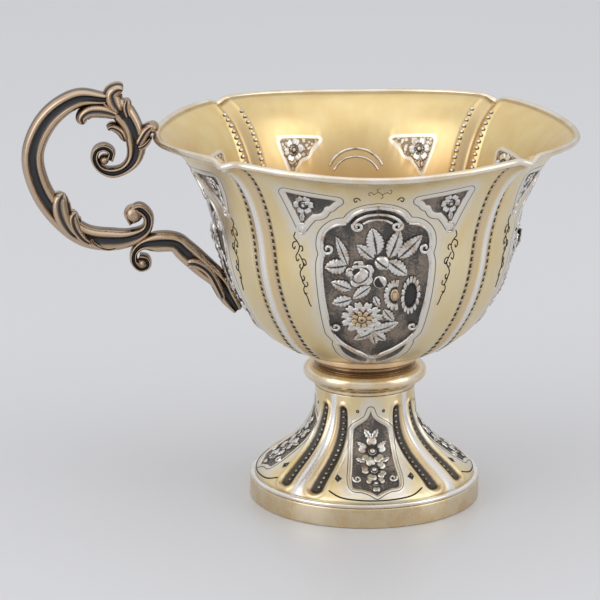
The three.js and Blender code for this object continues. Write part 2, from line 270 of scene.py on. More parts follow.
# %% Floor, world and lamps
def make_floor():
    size = 4000
    corners = [(-size, -size, 0), (size, -size, 0), (size, size, 0), (-size, size, 0)]
    floor = new_object("floor", corners, [(0, 1, 2, 3)])
    paint = Paint("pale_sheet")
    tone = paint.mix(paint.noise(400, 1.0), (0.635, 0.64, 0.66), (0.675, 0.68, 0.70))
    paint.surface(colour=tone, roughness=0.3)
    paint.shader.inputs["Specular IOR Level"].default_value = 0.3
    floor.data.materials.append(paint.material)


def make_world():
    world = bpy.data.worlds.new("tent")
    bpy.context.scene.world = world
    world.use_nodes = True
    board = Board(world.node_tree)
    direction = board.node("ShaderNodeTexCoord", output=0)
    height = board.node("ShaderNodeSeparateXYZ", None, {0: direction}, output=2)
    tent = board.node("ShaderNodeValToRGB", {"stops": [
        (0.0, (0.5, 0.5, 0.51)), (0.44, (0.40, 0.40, 0.41)),
        (0.56, (0.66, 0.665, 0.68)), (0.8, (0.9, 0.9, 0.92)),
    ]}, {0: height * 0.5 + 0.5})
    background = world.node_tree.nodes["Background"]
    board.feed(tent, background.inputs["Color"])
    background.inputs["Strength"].default_value = 0.93


def make_lamp(name, place, size, power):
    """A soft rectangle of light that faces the middle of the cup; place and size in metres."""
    light = bpy.data.lights.new(name, "AREA")
    light.shape = "RECTANGLE"
    light.size, light.size_y = size
    light.energy = power
    lamp = bpy.data.objects.new(name, light)
    lamp.location = place
    middle = Vector((AXIS_X * MM, 0, 0.055))
    lamp.rotation_euler = (lamp.location - middle).to_track_quat("Z", "Y").to_euler()
    bpy.context.collection.objects.link(lamp)


make_floor()
make_world()
make_lamp("left_softbox", (-0.75, -0.45, 0.45), (0.6, 0.9), 2.2)
make_lamp("right_softbox", (0.85, -0.35, 0.5), (0.6, 0.9), 1.8)
make_lamp("top_softbox", (0.0, -0.1, 1.1), (1.2, 1.2), 1.5)
print("stage, world and three lamps ready")

# %% [markdown]
# A long lens keeps the cup's uprights almost parallel, as in the photograph. The distance, height
# and turn come from matching the rim, the foot and the handle with their places in it.

# %% Camera at the photograph's angle
CAMERA_DISTANCE = 660
CAMERA_HEIGHT = 227.5
CUP_TURN = math.radians(4.0)
HEADING = math.radians(2.71)
TILT = math.radians(15.4)
LENS = 180.4

camera_data = bpy.data.cameras.new("camera")
camera_data.lens = LENS
camera_data.sensor_width = 36
camera = bpy.data.objects.new("camera", camera_data)
camera.location = Vector((
    AXIS_X - CAMERA_DISTANCE * math.sin(CUP_TURN),
    -CAMERA_DISTANCE * math.cos(CUP_TURN),
    CAMERA_HEIGHT,
)) * MM
camera.rotation_euler = (math.pi / 2 - TILT, 0, -HEADING)
bpy.context.collection.objects.link(camera)
bpy.context.scene.camera = camera
bpy.context.scene.view_settings.view_transform = "Standard"
print("camera at", [round(v, 4) for v in camera.location])

# %% [markdown]
# ## The rule of the walls
# Bowl and foot are both raised from sheet: a smooth profile turned round the axis, pushed into four
# lobes, with a polished ridge between two sunk rows at each corner. One class holds that rule, and
# everything on the walls, from the sheet to the last petal, is placed by asking it for a point at
# an angle, a level and a height off the surface.

# %% Profiles and lobed shells
LOBES = 4
RIB_HALF_WIDTH = 2.2
PIT_ROW_OFFSET = 3.0
PANEL_EDGE_OFFSET = 4.0
RIB_HEIGHT = 0.8
PIT_ROW_DEPTH = 0.4
RIM_LIFT = 1.3
RIM_DIP = 1.4


def bezier(a, b, c, d, count=160):
    t = np.linspace(0, 1, count)[:, None]
    a, b, c, d = (np.array(point, float) for point in (a, b, c, d))
    return (1 - t) ** 3 * a + 3 * t * (1 - t) ** 2 * b + 3 * t ** 2 * (1 - t) * c + t ** 3 * d


def smooth(value, start, end):
    share = np.clip((value - start) / (end - start), 0, 1)
    return share * share * (3 - 2 * share)


def hump(offset, half):
    return np.cos(np.clip(np.abs(offset) / half, 0, 1) * np.pi / 2) ** 2


class Shell:
    """A lobed wall, asked by angle and level; outline is its profile of (radius, level) points going up."""

    def __init__(self, outline, lobe_depth, strength, lift, turn=0.0, fan=lambda z: 1 + 0 * z):
        self.radii, self.levels = outline.T
        slope = np.gradient(outline, axis=0)
        slope /= np.linalg.norm(slope, axis=1)[:, None]
        self.out_r, self.out_z = slope[:, 1], -slope[:, 0]
        steps = np.linalg.norm(np.diff(outline, axis=0), axis=1)
        self.lengths = np.concatenate([[0], np.cumsum(steps)])
        self.lobe_depth, self.strength, self.lift = lobe_depth, strength, lift
        self.turn = turn
        self.fan = fan

    def radius(self, z):
        return np.interp(z, self.levels, self.radii)

    def length(self, z):
        return np.interp(z, self.levels, self.lengths)

    def level(self, length):
        return np.interp(length, self.lengths, self.levels)

    def rib_angle(self, theta):
        """Angle from the nearest rib's middle."""
        quarter = 2 * np.pi / LOBES
        return np.mod(theta - self.turn, quarter) - quarter / 2

    def rib_offset(self, theta, z):
        """Distance along the ring from the nearest rib's middle, in widths of the fan at that level."""
        return self.rib_angle(theta) * self.radius(z) / self.fan(z)

    def point(self, theta, z, height=0.0):
        r = self.radius(z)
        offset = self.rib_offset(theta, z)
        lobe = np.cos(self.rib_angle(theta) * LOBES / 2) ** 2
        row = hump(np.abs(offset) - PIT_ROW_OFFSET, PANEL_EDGE_OFFSET - PIT_ROW_OFFSET)
        rib = RIB_HEIGHT * hump(offset, RIB_HALF_WIDTH) - PIT_ROW_DEPTH * row
        wave = RIM_LIFT * lobe - RIM_DIP * hump(offset, PIT_ROW_OFFSET)
        radius = r + self.strength(z) * (rib - self.lobe_depth * lobe)
        radius = radius + height * np.interp(z, self.levels, self.out_r)
        level = z + self.lift(z) * wave + height * np.interp(z, self.levels, self.out_z)
        return np.stack([radius * np.cos(theta), radius * np.sin(theta), level + 0 * theta], -1)

    def facing(self, theta, z):
        """The direction that the wall faces."""
        small = 0.02
        across = self.point(theta + small / self.radius(z), z) - self.point(theta, z)
        up = self.point(theta, z + small) - self.point(theta, z)
        out = np.cross(across, up)
        return out / np.linalg.norm(out, axis=-1, keepdims=True)


print(LOBES, "lobes, ribs", RIB_HALF_WIDTH * 2, "mm wide")

# %% [markdown]
# The bowl swells to a belly and flares to the rim, and the foot is a trumpet. Two Bezier arcs give
# the bowl's profile and one gives the foot's. The foot's ribs fan out toward its skirt, so their
# widths grow downwards.

# %% The bowl's and the foot's profiles
BELLY_RADIUS = 34.3
BELLY_HEIGHT = 27.7
BOWL_HEIGHT = 49.3
BOWL_WALL = 0.9
RIM_Z = SEAT_Z + BOWL_HEIGHT


def bowl_outline():
    belly_z = SEAT_Z + BELLY_HEIGHT
    fill = BELLY_RADIUS - SEAT_RADIUS
    flare = SHEET_RADIUS - BELLY_RADIUS
    rise = RIM_Z - belly_z
    lower = bezier(
        (SEAT_RADIUS, SEAT_Z),
        (SEAT_RADIUS + 0.52 * fill, SEAT_Z + 0.055 * BELLY_HEIGHT),
        (BELLY_RADIUS - 0.08 * fill, belly_z - 0.475 * BELLY_HEIGHT),
        (BELLY_RADIUS, belly_z),
    )
    upper = bezier(
        (BELLY_RADIUS, belly_z),
        (BELLY_RADIUS + 0.1 * flare, belly_z + 0.46 * rise),
        (SHEET_RADIUS - 0.52 * flare, RIM_Z - 0.09 * rise),
        (SHEET_RADIUS, RIM_Z),
    )
    return np.vstack([lower, upper[1:]])


bowl_shell = Shell(
    bowl_outline(),
    lobe_depth=0.6,
    strength=lambda z: smooth((z - SEAT_Z) / BOWL_HEIGHT, 0, 0.2),
    lift=lambda z: smooth((z - SEAT_Z) / BOWL_HEIGHT, 0.55, 1),
)

NECK_RADIUS = 11.4
NECK_Z = KNOP_Z - 2.8
SKIRT_RADIUS = half_width("foot_shell")


def foot_outline():
    flare = SKIRT_RADIUS - NECK_RADIUS
    rise = NECK_Z - SKIRT_Z
    trumpet = bezier(
        (SKIRT_RADIUS, SKIRT_Z),
        (SKIRT_RADIUS - 0.12 * flare, SKIRT_Z + 0.25 * rise),
        (NECK_RADIUS + 0.015 * flare, SKIRT_Z + 0.39 * rise),
        (NECK_RADIUS, NECK_Z),
    )
    return np.vstack([trumpet, [(NECK_RADIUS, KNOP_Z)]])


def foot_strength(z):
    up = (z - SKIRT_Z) / (NECK_Z - SKIRT_Z)
    return smooth(up, 0, 0.12) * smooth(1 - up, 0.1, 0.6)


FOOT_TURN = math.radians(3)
FAN_LEVELS = (7.6, 22.4)
FAN_WIDTHS = (1.5, 0.85)
foot_shell = Shell(
    foot_outline(),
    lobe_depth=0.7,
    strength=foot_strength,
    lift=lambda z: 0 * z,
    turn=FOOT_TURN,
    fan=lambda z: np.interp(z, FAN_LEVELS, FAN_WIDTHS),
)
print(f"bowl wall is {bowl_shell.lengths[-1]:.1f} mm long from seat to edge")
print(f"foot wall is {foot_shell.lengths[-1]:.1f} mm long")

# %% [markdown]
# ## The chased fields
# Each lobe of the bowl carries a tall cartouche, two corner fields under the rim and two small
# aprons below; each lobe of the foot carries one pointed panel. A field is drawn once, as (degrees
# from the lobe's middle, level), and turned into a signed distance at every point of the sheet. The
# distance sinks the ground, raises the polished border, and later tells the material where oxide,
# silver and gold lie, so the edges stay crisp on any mesh.

# %% Smooth paths and distances
def smooth_path(points, steps=8):
    """A centripetal Catmull-Rom curve through points of any number of coordinates."""
    points = np.array(points, float)
    ends = np.vstack([2 * points[0] - points[1], points, 2 * points[-1] - points[-2]])
    made = []
    for a, b, c, d in zip(ends, ends[1:], ends[2:], ends[3:]):
        gaps = [max(np.linalg.norm((q - p)[:2]), 1e-6) ** 0.5 for p, q in ((a, b), (b, c), (c, d))]
        t0, t1, t2, t3 = np.cumsum([0, *gaps])
        t = np.linspace(t1, t2, steps, endpoint=False)[:, None]
        ab = ((t1 - t) * a + (t - t0) * b) / (t1 - t0)
        bc = ((t2 - t) * b + (t - t1) * c) / (t2 - t1)
        cd = ((t3 - t) * c + (t - t2) * d) / (t3 - t2)
        abc = ((t2 - t) * ab + (t - t0) * bc) / (t2 - t0)
        bcd = ((t3 - t) * bc + (t - t1) * cd) / (t3 - t1)
        made.append(((t2 - t) * abc + (t - t1) * bcd) / (t2 - t1))
    return np.vstack([*made, points[-1:]])


def mirrored(half):
    """A closed outline from its right half, which runs from the top of the middle line to the bottom."""
    left = half[::-1] * (-1, 1)
    return np.vstack([half, left[1:-1]])


def signed_distance(x, y, outline):
    """Distance from each point to a closed outline, negative inside."""
    best = np.full(x.shape, 1e9)
    inside = np.zeros(x.shape, bool)
    for (ax, ay), (bx, by) in zip(outline, np.roll(outline, -1, axis=0)):
        ex, ey = bx - ax, by - ay
        share = np.clip(((x - ax) * ex + (y - ay) * ey) / max(ex * ex + ey * ey, 1e-9), 0, 1)
        best = np.minimum(best, np.hypot(x - ax - share * ex, y - ay - share * ey))
        crosses = (ay > y) != (by > y)
        inside ^= crosses & (x < ax + ex * (y - ay) / (ey if ey else 1e-9))
    return np.where(inside, -best, best)


def field_distance(shell, outline, degrees, z):
    """Signed distance in millimetres on the flattened wall."""
    at, level = outline.T
    flat_outline = np.stack([np.radians(at) * shell.radius(level), shell.length(level)], -1)
    return signed_distance(np.radians(degrees) * shell.radius(z), shell.length(z), flat_outline)


print("paths and distances ready")

# %% [markdown]
# The outlines themselves: corners are where two smooth runs meet, which keeps the cusps that a
# chaser cuts.

# %% Outlines of the fields
CARTOUCHE = mirrored(np.vstack([
    smooth_path([(0, 76.6), (4, 76.1), (7.6, 74.8), (10, 72.7)])[:-1],
    smooth_path([(10, 72.7), (13, 72.4), (16.5, 71), (18.8, 69), (19.4, 66.8), (18.6, 65)])[:-1],
    smooth_path([(18.6, 65), (19.8, 63), (19.9, 56), (19.5, 49), (19.2, 45.8)])[:-1],
    smooth_path([(19.2, 45.8), (16, 43.6), (11, 41.7), (5, 40.2), (0, 38.9)]),
]))
SPANDREL = np.vstack([
    smooth_path([(13, 77.9), (21, 78.2), (30, 78.4)])[:-1],
    smooth_path([(30, 78.4), (28.6, 75), (26.4, 70.9)])[:-1],
    smooth_path([(26.4, 70.9), (24.4, 72.4), (21.8, 74.0)])[:-1],
    smooth_path([(21.8, 74.0), (18.6, 74.6), (17, 76.2)])[:-1],
    smooth_path([(17, 76.2), (15.4, 76.5), (14.6, 77.2)]),
])
APRON = np.vstack([
    smooth_path([(2.2, 37.9), (6, 38.9), (11, 40.3), (17, 42.6)])[:-1],
    smooth_path([(17, 42.6), (16, 40.2), (9, 37.4), (2.2, 36.7)])[:-1],
])
FOOT_PANEL = mirrored(np.vstack([
    smooth_path([(0, 22.9), (3, 21.4), (9, 20.3), (16, 19.4)])[:-1],
    smooth_path([(16, 19.4), (19, 18.4), (18.2, 15.5), (16, 12), (15.2, 9.8)])[:-1],
    smooth_path([(15.2, 9.8), (13.5, 8.5), (8, 8.2), (3, 7.7), (0, 7.1)]),
]))


def fields_distance(shell, outlines, theta, z):
    """Least distance to any of the fields, which repeat on every lobe and on both sides of its middle."""
    quarter = 2 * np.pi / LOBES
    degrees = np.degrees(np.mod(theta - shell.turn + quarter / 2, quarter) - quarter / 2)
    return np.min([field_distance(shell, outline, np.abs(degrees), z) for outline in outlines], axis=0)


print(f"{len(CARTOUCHE)} points on the cartouche, {len(FOOT_PANEL)} on the foot panel")

# %% [markdown]
# The sheet itself is one closed grid: up the outside, over the edge and down the inside. Columns
# crowd around the ribs, at fixed distances from their crests, and share the rest of each lobe
# evenly. A grid with a rule for each point is easier to write with arrays than with nodes, so the
# nodes are kept for what repeats on it.

# %% The lobed sheet as a closed grid
GROUND_DEPTH = 0.45
BORDER_WIDTH = 1.25
BORDER_HEIGHT = 0.16
RIB_ZONE = 4.4
INNER_DROP = 3.0
FAR_AWAY = 9


def wall_columns(shell, z, rib_step, panel_count):
    """Angles of all columns at each level: close together across the ribs, even between them."""
    quarter = 2 * np.pi / LOBES
    across = np.arange(-RIB_ZONE, RIB_ZONE + 1e-6, rib_step)
    shares = np.linspace(0, 1, panel_count + 2)[1:-1]
    zone = (RIB_ZONE * shell.fan(z) / shell.radius(z))[:, None]
    rib = across[None] / RIB_ZONE * zone
    between = zone + shares[None] * (quarter - 2 * zone)
    one = np.concatenate([rib, between], axis=1)
    return np.concatenate([one + quarter * (k + 0.5) + shell.turn for k in range(LOBES)], axis=1)


def relief(distance):
    """Height of the sheet near a field: sunk ground inside, a low rounded border outside."""
    ground = 1 - smooth(distance, -0.3, 0.1)
    border = hump(distance - BORDER_WIDTH / 2, BORDER_WIDTH / 2 + 0.1)
    return BORDER_HEIGHT * border - GROUND_DEPTH * ground


def row_distance(shell, theta, z, low, high, half):
    """Signed distance to the sunk rows beside the ribs, which end in half rounds."""
    along = shell.length(z)
    beyond = np.maximum(np.maximum(shell.length(low) - along, along - shell.length(high)), 0)
    return np.hypot(beyond, np.abs(shell.rib_offset(theta, z)) - PIT_ROW_OFFSET) - half


def sheet(name, shell, outlines, rows_at, wall, outer_rows, inner_rows, rib_step, panel_count,
          closed_ends):
    """A raised sheet with chased fields; its attributes give the distances that the finish needs."""
    out_z = shell.level(np.linspace(0, shell.lengths[-1], outer_rows))
    in_z = shell.level(np.linspace(shell.lengths[-1], 0, inner_rows))
    z = np.concatenate([out_z, in_z])
    theta = wall_columns(shell, z, rib_step, panel_count)
    level = np.repeat(z[:, None], theta.shape[1], axis=1)
    field = fields_distance(shell, outlines, theta, level)
    inner = np.repeat(np.arange(len(z)) >= outer_rows, theta.shape[1]).reshape(theta.shape)
    low, high, half, depth, lip = rows_at
    row = row_distance(shell, theta, level, low, high, half)
    furrow = lip * hump(row - 0.55, 0.6) - depth * (1 - smooth(row, -0.5, 0.15))
    corner = fields_distance(shell, outlines[1:2] or outlines, theta, level + INNER_DROP * inner)
    height = np.where(inner, 0.5 * relief(corner) - wall, relief(field) + furrow)
    points = shell.point(theta, level, height).reshape(-1, 3)
    values = {
        "field": field.ravel(),
        "rib": np.abs(shell.rib_offset(theta, level)).ravel(),
        "inner": inner.astype(float).ravel(),
        "corner": corner.ravel(),
        "row": row.ravel(),
    }
    rows, columns = theta.shape
    faces = grid_faces(rows, columns, closed=True)
    if closed_ends:
        low = points[:columns].mean(axis=0)
        high = points[-columns:].mean(axis=0)
        points = np.vstack([points, low, high])
        for key in values:
            values[key] = np.append(values[key], [0, 1] if key == "inner" else [FAR_AWAY, FAR_AWAY])
        last = (rows - 1) * columns
        faces += [((k + 1) % columns, k, rows * columns) for k in range(columns)]
        faces += [(last + k, last + (k + 1) % columns, rows * columns + 1) for k in range(columns)]
    else:
        last = (rows - 1) * columns
        faces += [(last + k, last + (k + 1) % columns, (k + 1) % columns, k) for k in range(columns)]
    obj = new_object(name, points, faces, values)
    face_outwards(obj)
    return obj


BOWL_ROWS = (37.0, 82.4, 0.75, 0.1, 0.0)
FOOT_ROWS = (7.4, 22.4, 1.1, 0.5, 0.35)
FOOT_WALL = 0.8
bowl = sheet(
    "bowl_sheet", bowl_shell, [CARTOUCHE, SPANDREL, APRON], BOWL_ROWS, BOWL_WALL,
    outer_rows=122, inner_rows=40, rib_step=0.4, panel_count=110, closed_ends=True,
)
foot = sheet(
    "foot_sheet", foot_shell, [FOOT_PANEL], FOOT_ROWS, FOOT_WALL,
    outer_rows=84, inner_rows=24, rib_step=0.3, panel_count=80, closed_ends=False,
)
print(f"bowl {len(bowl.data.polygons)} faces, foot {len(foot.data.polygons)} faces")

# %% [markdown]
# ## Sweeping and turning with Geometry Nodes
# Wires, scrolls and turned rings are all one idea: a section carried along a path. The tree below
# takes a mesh of edges as its paths and another as its section. Each path point brings two numbers:
# how large the section is there, and how deep it is for its size across the handle's plane. The
# section brings one: how far it lies in shade.

# %% A tree that sweeps a section along paths
def group_input(board, index):
    return board.node("NodeGroupInput", output=index)


def named_number(board, key):
    return board.node("GeometryNodeInputNamedAttribute", {"data_type": "FLOAT"}, {"Name": key})


def finished_tree(board, real):
    """Sets the material that the tree's third input names and closes the tree."""
    sockets = {"Geometry": real, "Material": group_input(board, 2)}
    done = board.node("GeometryNodeSetMaterial", None, sockets)
    board.node("NodeGroupOutput", None, {0: done})
    return board.tree


def sweep_tree():
    tree = bpy.data.node_groups.new("sweep_section", "GeometryNodeTree")
    face = tree.interface
    face.new_socket("Paths", in_out="INPUT", socket_type="NodeSocketGeometry")
    face.new_socket("Section", in_out="INPUT", socket_type="NodeSocketObject")
    face.new_socket("Finish", in_out="INPUT", socket_type="NodeSocketMaterial")
    face.new_socket("Swept", in_out="OUTPUT", socket_type="NodeSocketGeometry")
    board = Board(tree)
    path = board.node("GeometryNodeMeshToCurve", None, {"Mesh": group_input(board, 0)})
    section = board.node("GeometryNodeObjectInfo", None, {"Object": group_input(board, 1)},
                         output="Geometry")
    ring = board.node("GeometryNodeMeshToCurve", None, {"Mesh": section})
    sockets = {
        "Curve": path,
        "Profile Curve": ring,
        "Scale": named_number(board, "size"),
        "Fill Caps": True,
    }
    swept = board.node("GeometryNodeCurveToMesh", None, sockets)
    place = board.node("GeometryNodeInputPosition")
    y = board.node("ShaderNodeSeparateXYZ", None, {0: place}, output=1)
    shift = board.node("ShaderNodeCombineXYZ", None, {1: y * (named_number(board, "depth") - 1)})
    deep = board.node("GeometryNodeSetPosition", None, {"Geometry": swept, "Offset": shift})
    real = board.node("GeometryNodeRealizeInstances", None, {"Geometry": deep})
    return finished_tree(board, real)


def edges_object(name, paths, values=None, closed=False, placed=True):
    """A mesh of edges, one chain for each path; values holds one list of numbers a path for each key."""
    mesh = bpy.data.meshes.new(name)
    points = np.vstack(paths)
    if placed:
        points = points + (AXIS_X, 0, 0)
    edges = []
    first = 0
    for path in paths:
        edges += [(first + i, first + i + 1) for i in range(len(path) - 1)]
        if closed:
            edges.append((first + len(path) - 1, first))
        first += len(path)
    mesh.from_pydata((points * MM).tolist(), edges, [])
    for key, numbers in (values or {}).items():
        layer = mesh.attributes.new(key, "FLOAT", "POINT")
        layer.data.foreach_set("value", np.concatenate(numbers).astype(np.float32))
    obj = bpy.data.objects.new(name, mesh)
    bpy.context.collection.objects.link(obj)
    return obj


def run_tree(obj, tree, inputs, helpers=()):
    """Runs a tree on an object, keeps the result as a plain mesh and clears away what only helped."""
    modifier = obj.modifiers.new(tree.name, "NODES")
    modifier.node_group = tree
    for item in tree.interface.items_tree:
        if item.in_out == "INPUT" and item.name in inputs:
            modifier[item.identifier] = inputs[item.name]
    graph = bpy.context.evaluated_depsgraph_get()
    mesh = bpy.data.meshes.new_from_object(obj.evaluated_get(graph))
    obj.modifiers.clear()
    mesh.shade_smooth()
    obj.data = mesh
    for helper in helpers:
        bpy.data.objects.remove(helper)
    return obj


SWEEP = sweep_tree()


def sweep(name, paths, sizes, section, shades, finish, depths=None, closed=False):
    """One object from several paths; section is a closed outline in units of size, x across and y deep."""
    depths = depths or [np.ones(len(path)) for path in paths]
    flat = np.stack([section[:, 1], section[:, 0], np.zeros(len(section))], -1) / MM
    profile = edges_object(name + "_section", [flat], {"shade": [shades]}, closed=True, placed=False)
    obj = edges_object(name, paths, {"size": [s * MM for s in sizes], "depth": depths}, closed=closed)
    run_tree(obj, SWEEP, {"Section": profile, "Finish": finish}, [profile])
    face_outwards(obj)
    return obj


def round_section(count):
    turn = np.linspace(0, 2 * np.pi, count, endpoint=False)
    return np.stack([np.cos(turn), np.sin(turn)], -1)


print("sweep tree has", len(SWEEP.nodes), "nodes")

# %% [markdown]
# ## Finishes
# The sheet is silver, gilded all over, and polished for generations: the gold has thinned to a pale
# straw, silver shows along crests and borders, and black sulphide sits in every sunk ground. The
# crests also carry a painted reflection, and the inside is painted darker brown-gold towards the
# bottom as shade. One finish for the walls mixes these by the stored distances. The flowers use a
# second one that reads how deep each point lies in the relief, and the handle a third, brown with tan
# on the edges, partly wear and partly painted highlight.

# %% Finish of the lobed walls
GOLD = (0.83, 0.66, 0.34)
PALE_GOLD = (0.83, 0.72, 0.49)
INNER_GOLD = (0.78, 0.58, 0.27)
WORN_SILVER = (0.80, 0.77, 0.71)
OXIDE = (0.095, 0.089, 0.084)
BROWN_OXIDE = (0.31, 0.25, 0.20)


def wall_finish(name, row_dark, edge, edge_silver):
    """Gilt sheet; row_dark blackens the rows beside the ribs, edge and edge_silver are the border's
    width and how far silver shows on it."""
    paint = Paint(name)
    keys = ("field", "rib", "inner", "corner", "row")
    field, rib, inner, corner, row = (paint.attribute(key) for key in keys)
    blotch, cloud, fine = paint.noise(16), paint.noise(5, 4, (1, 1, 0.35)), paint.noise(0.5)
    streak = paint.noise(0.9, 3, (1, 1, 0.08))
    outer = 1 - inner
    near = paint.step(field, 6.5, 0.9)
    worn = paint.step(near * 0.62 + (blotch - 0.5) * 0.6 + (streak - 0.5) * 0.6, 0.2, 0.7) * outer
    gold = paint.mix(paint.step(cloud, 0.25, 0.75), GOLD, PALE_GOLD)
    gold = paint.mix(inner, gold, paint.mix(paint.step(cloud, 0.25, 0.75), INNER_GOLD, GOLD))
    level = paint.node("ShaderNodeSeparateXYZ", None, {0: paint.place}, output=2) / MM
    # Painted shade: the inside of the bowl turns brown-gold towards its bottom.
    low = paint.step(level + (cloud - 0.5) * 6, 80, 68) * inner
    gold = paint.mix(low * 0.6, gold, (0.60, 0.38, 0.18))
    gold = paint.mix(paint.step(rib, 2.6, 2.0) * inner * 0.5, gold, (0.52, 0.38, 0.23))
    colour = paint.mix(worn * 0.8, gold, WORN_SILVER)
    # Worn silver and a painted reflection: the rib crests turn pale grey-silver.
    crest_wear_and_reflection = paint.step(rib + (fine - 0.5) * 0.3, 1.15, 0.45) * outer
    colour = paint.mix(crest_wear_and_reflection * 0.9, colour, (0.87, 0.86, 0.86))
    flank = paint.step(rib, 0.9, 1.4) * paint.step(rib + (streak - 0.5) * 1.6, 4.2, 2.4)
    colour = paint.mix(flank * outer * 0.5, colour, (0.68, 0.49, 0.31))
    border = paint.step(field, edge - 0.2, edge - 0.5) * outer
    colour = paint.mix(border * edge_silver, colour, (0.82, 0.79, 0.74))
    furrow = paint.step(row + (fine - 0.5) * 0.2, 0.15, -0.25) * outer
    colour = paint.mix(furrow * row_dark, colour, (0.07, 0.065, 0.06))
    line = paint.line(field, edge, 0.13) * outer
    colour = paint.mix(line * 0.9, colour, OXIDE)
    ground = paint.step(field + (fine - 0.5) * 0.12, 0.06, -0.14) * outer
    back = paint.step(corner, 0.1, -0.2) * inner
    punched = paint.cells(0.45)
    soot = paint.mix(paint.step(cloud + (punched - 0.4) * 0.25, 0.42, 0.68), OXIDE, BROWN_OXIDE)
    colour = paint.mix(ground, colour, soot)
    bosses = paint.step(paint.cells(0.9) + (fine - 0.5) * 0.3, 0.62, 0.42)
    colour = paint.mix(back, colour, paint.mix(bosses, (0.24, 0.18, 0.12), (0.60, 0.52, 0.41)))
    ridge = paint.line(corner, 0.45, 0.5) * inner
    colour = paint.mix(ridge * 0.8, colour, (0.84, 0.81, 0.76))
    rough = 0.33 + (streak - 0.5) * 0.16 - crest_wear_and_reflection * 0.08 + ground * 0.2 + furrow * row_dark * 0.15
    height = punched * ground * 0.12 + bosses * back * 0.12 + streak * 0.004 - line * 0.08
    return paint.surface(colour=colour, roughness=rough, metallic=1.0 - ground * 0.4,
                         normal=paint.bump(height, 0.7, 1.0))


print("wall finish ready")

# %% [markdown]
# Turned rings are plain polished metal. What makes them look old is a cloudy tone, fine rubbing
# marks and a few dull spots; a deep hollow is painted dark brown, partly as soot and partly as painted
# shade.

# %% Finish of the turned rings and wires
def ring_finish(name, light, dark, roughness, soot=(0, 0)):
    """Polished metal with cloudy tone, fine rubbing marks and dull spots; soot names the levels of a
    hollow painted dark brown, partly soot and partly painted shade."""
    paint = Paint(name)
    cloud, marks, spots = paint.noise(6), paint.noise(0.35, 2, (1, 1, 0.12)), paint.noise(1.1, 4)
    colour = paint.mix(paint.step(cloud, 0.32, 0.68), dark, light)
    dull = paint.step(spots, 0.66, 0.78)
    colour = paint.mix(dull * 0.5, colour, (0.28, 0.21, 0.13))
    level = paint.node("ShaderNodeSeparateXYZ", None, {0: paint.place}, output=2) / MM + (spots - 0.5) * 0.5
    # Soot and painted shade: the levels between low and high turn dark brown.
    low, high = soot
    hollow = dull * 0
    if high:
        hollow = paint.step(level, low - 0.3, low + 0.3) * paint.step(level, high + 0.3, high - 0.3)
    colour = paint.mix(hollow * 0.72, colour, (0.09, 0.055, 0.035))
    rough = roughness + (cloud - 0.5) * 0.12 + dull * 0.2
    normal = paint.bump(marks * 0.006, 0.6, 1.0)
    return paint.surface(colour=colour, roughness=rough, metallic=1.0, normal=normal)


print("ring finish ready")

# %% [markdown]
# The flowers are bright where a cloth reaches and black in the cuts, and so is the handle, which is
# browner because it was cast and never polished in its hollows. The handle's bright crowns also carry
# a painted highlight, its outer edges a painted shade, and the pearls a painted shadow round their
# base. Both read the shade that the meshes store.

# %% Finishes of the flowers and the handle
def chased_finish():
    """Raised flowers, scrolls, pits and pearls: bright on top, black in the cuts and in the painted shadow
    round each pearl's base, some of the old gold left.
    """
    paint = Paint("chased_silver")
    shade, gold = paint.attribute("shade"), paint.attribute("gold")
    cloud, fine = paint.noise(2.2), paint.noise(0.35)
    metal = paint.mix(paint.step(cloud, 0.45, 0.7), (0.80, 0.78, 0.74), (0.57, 0.45, 0.34))
    metal = paint.mix(gold, metal, (0.72, 0.53, 0.33))
    deep = paint.step(shade + (fine - 0.5) * 0.5, 0.12, 0.62)
    colour = paint.mix(deep, metal, (0.06, 0.056, 0.053))
    rough = 0.28 + deep * 0.3 + (fine - 0.5) * 0.1
    normal = paint.bump(fine * 0.03, 0.6, 1.0)
    return paint.surface(colour=colour, roughness=rough, metallic=1.0 - deep * 0.3, normal=normal)


def patina_finish():
    """Cast handle: blue-black in the hollows, brown on the flanks, tan and silver on the edges, partly
    rubbed wear and partly painted highlight.
    """
    paint = Paint("handle_patina")
    shade = paint.attribute("shade")
    cloud, fine = paint.noise(4), paint.noise(0.5)
    # Rubbed wear and a painted highlight: the crowns of bars and leaves turn tan.
    rubbed_and_highlight = paint.step(shade + (cloud - 0.5) * 0.4, 0.34, 0.04)
    flank = paint.mix(paint.step(cloud, 0.35, 0.65), (0.15, 0.10, 0.065), (0.27, 0.19, 0.12))
    colour = paint.mix(rubbed_and_highlight * 0.8, flank, (0.66, 0.51, 0.37))
    deep = paint.step(shade + (fine - 0.5) * 0.2, 0.35, 0.85)
    colour = paint.mix(deep, colour, (0.055, 0.058, 0.063))
    rough = 0.27 + deep * 0.12 + (cloud - 0.5) * 0.12
    return paint.surface(colour=colour, roughness=rough, metallic=1.0 - deep * 0.2,
                         normal=paint.bump(fine * 0.012, 0.5, 1.0))


gilt_wall = wall_finish("gilt_wall", 0.15, 1.5, 0.55)
foot_gilt = wall_finish("foot_gilt", 0.95, 0.95, 0.3)
band_gilt = ring_finish("band_gilt", (0.75, 0.64, 0.46), (0.68, 0.51, 0.29), 0.28)
knop_gilt = ring_finish("knop_gilt", (0.86, 0.76, 0.58), (0.80, 0.60, 0.36), 0.24)
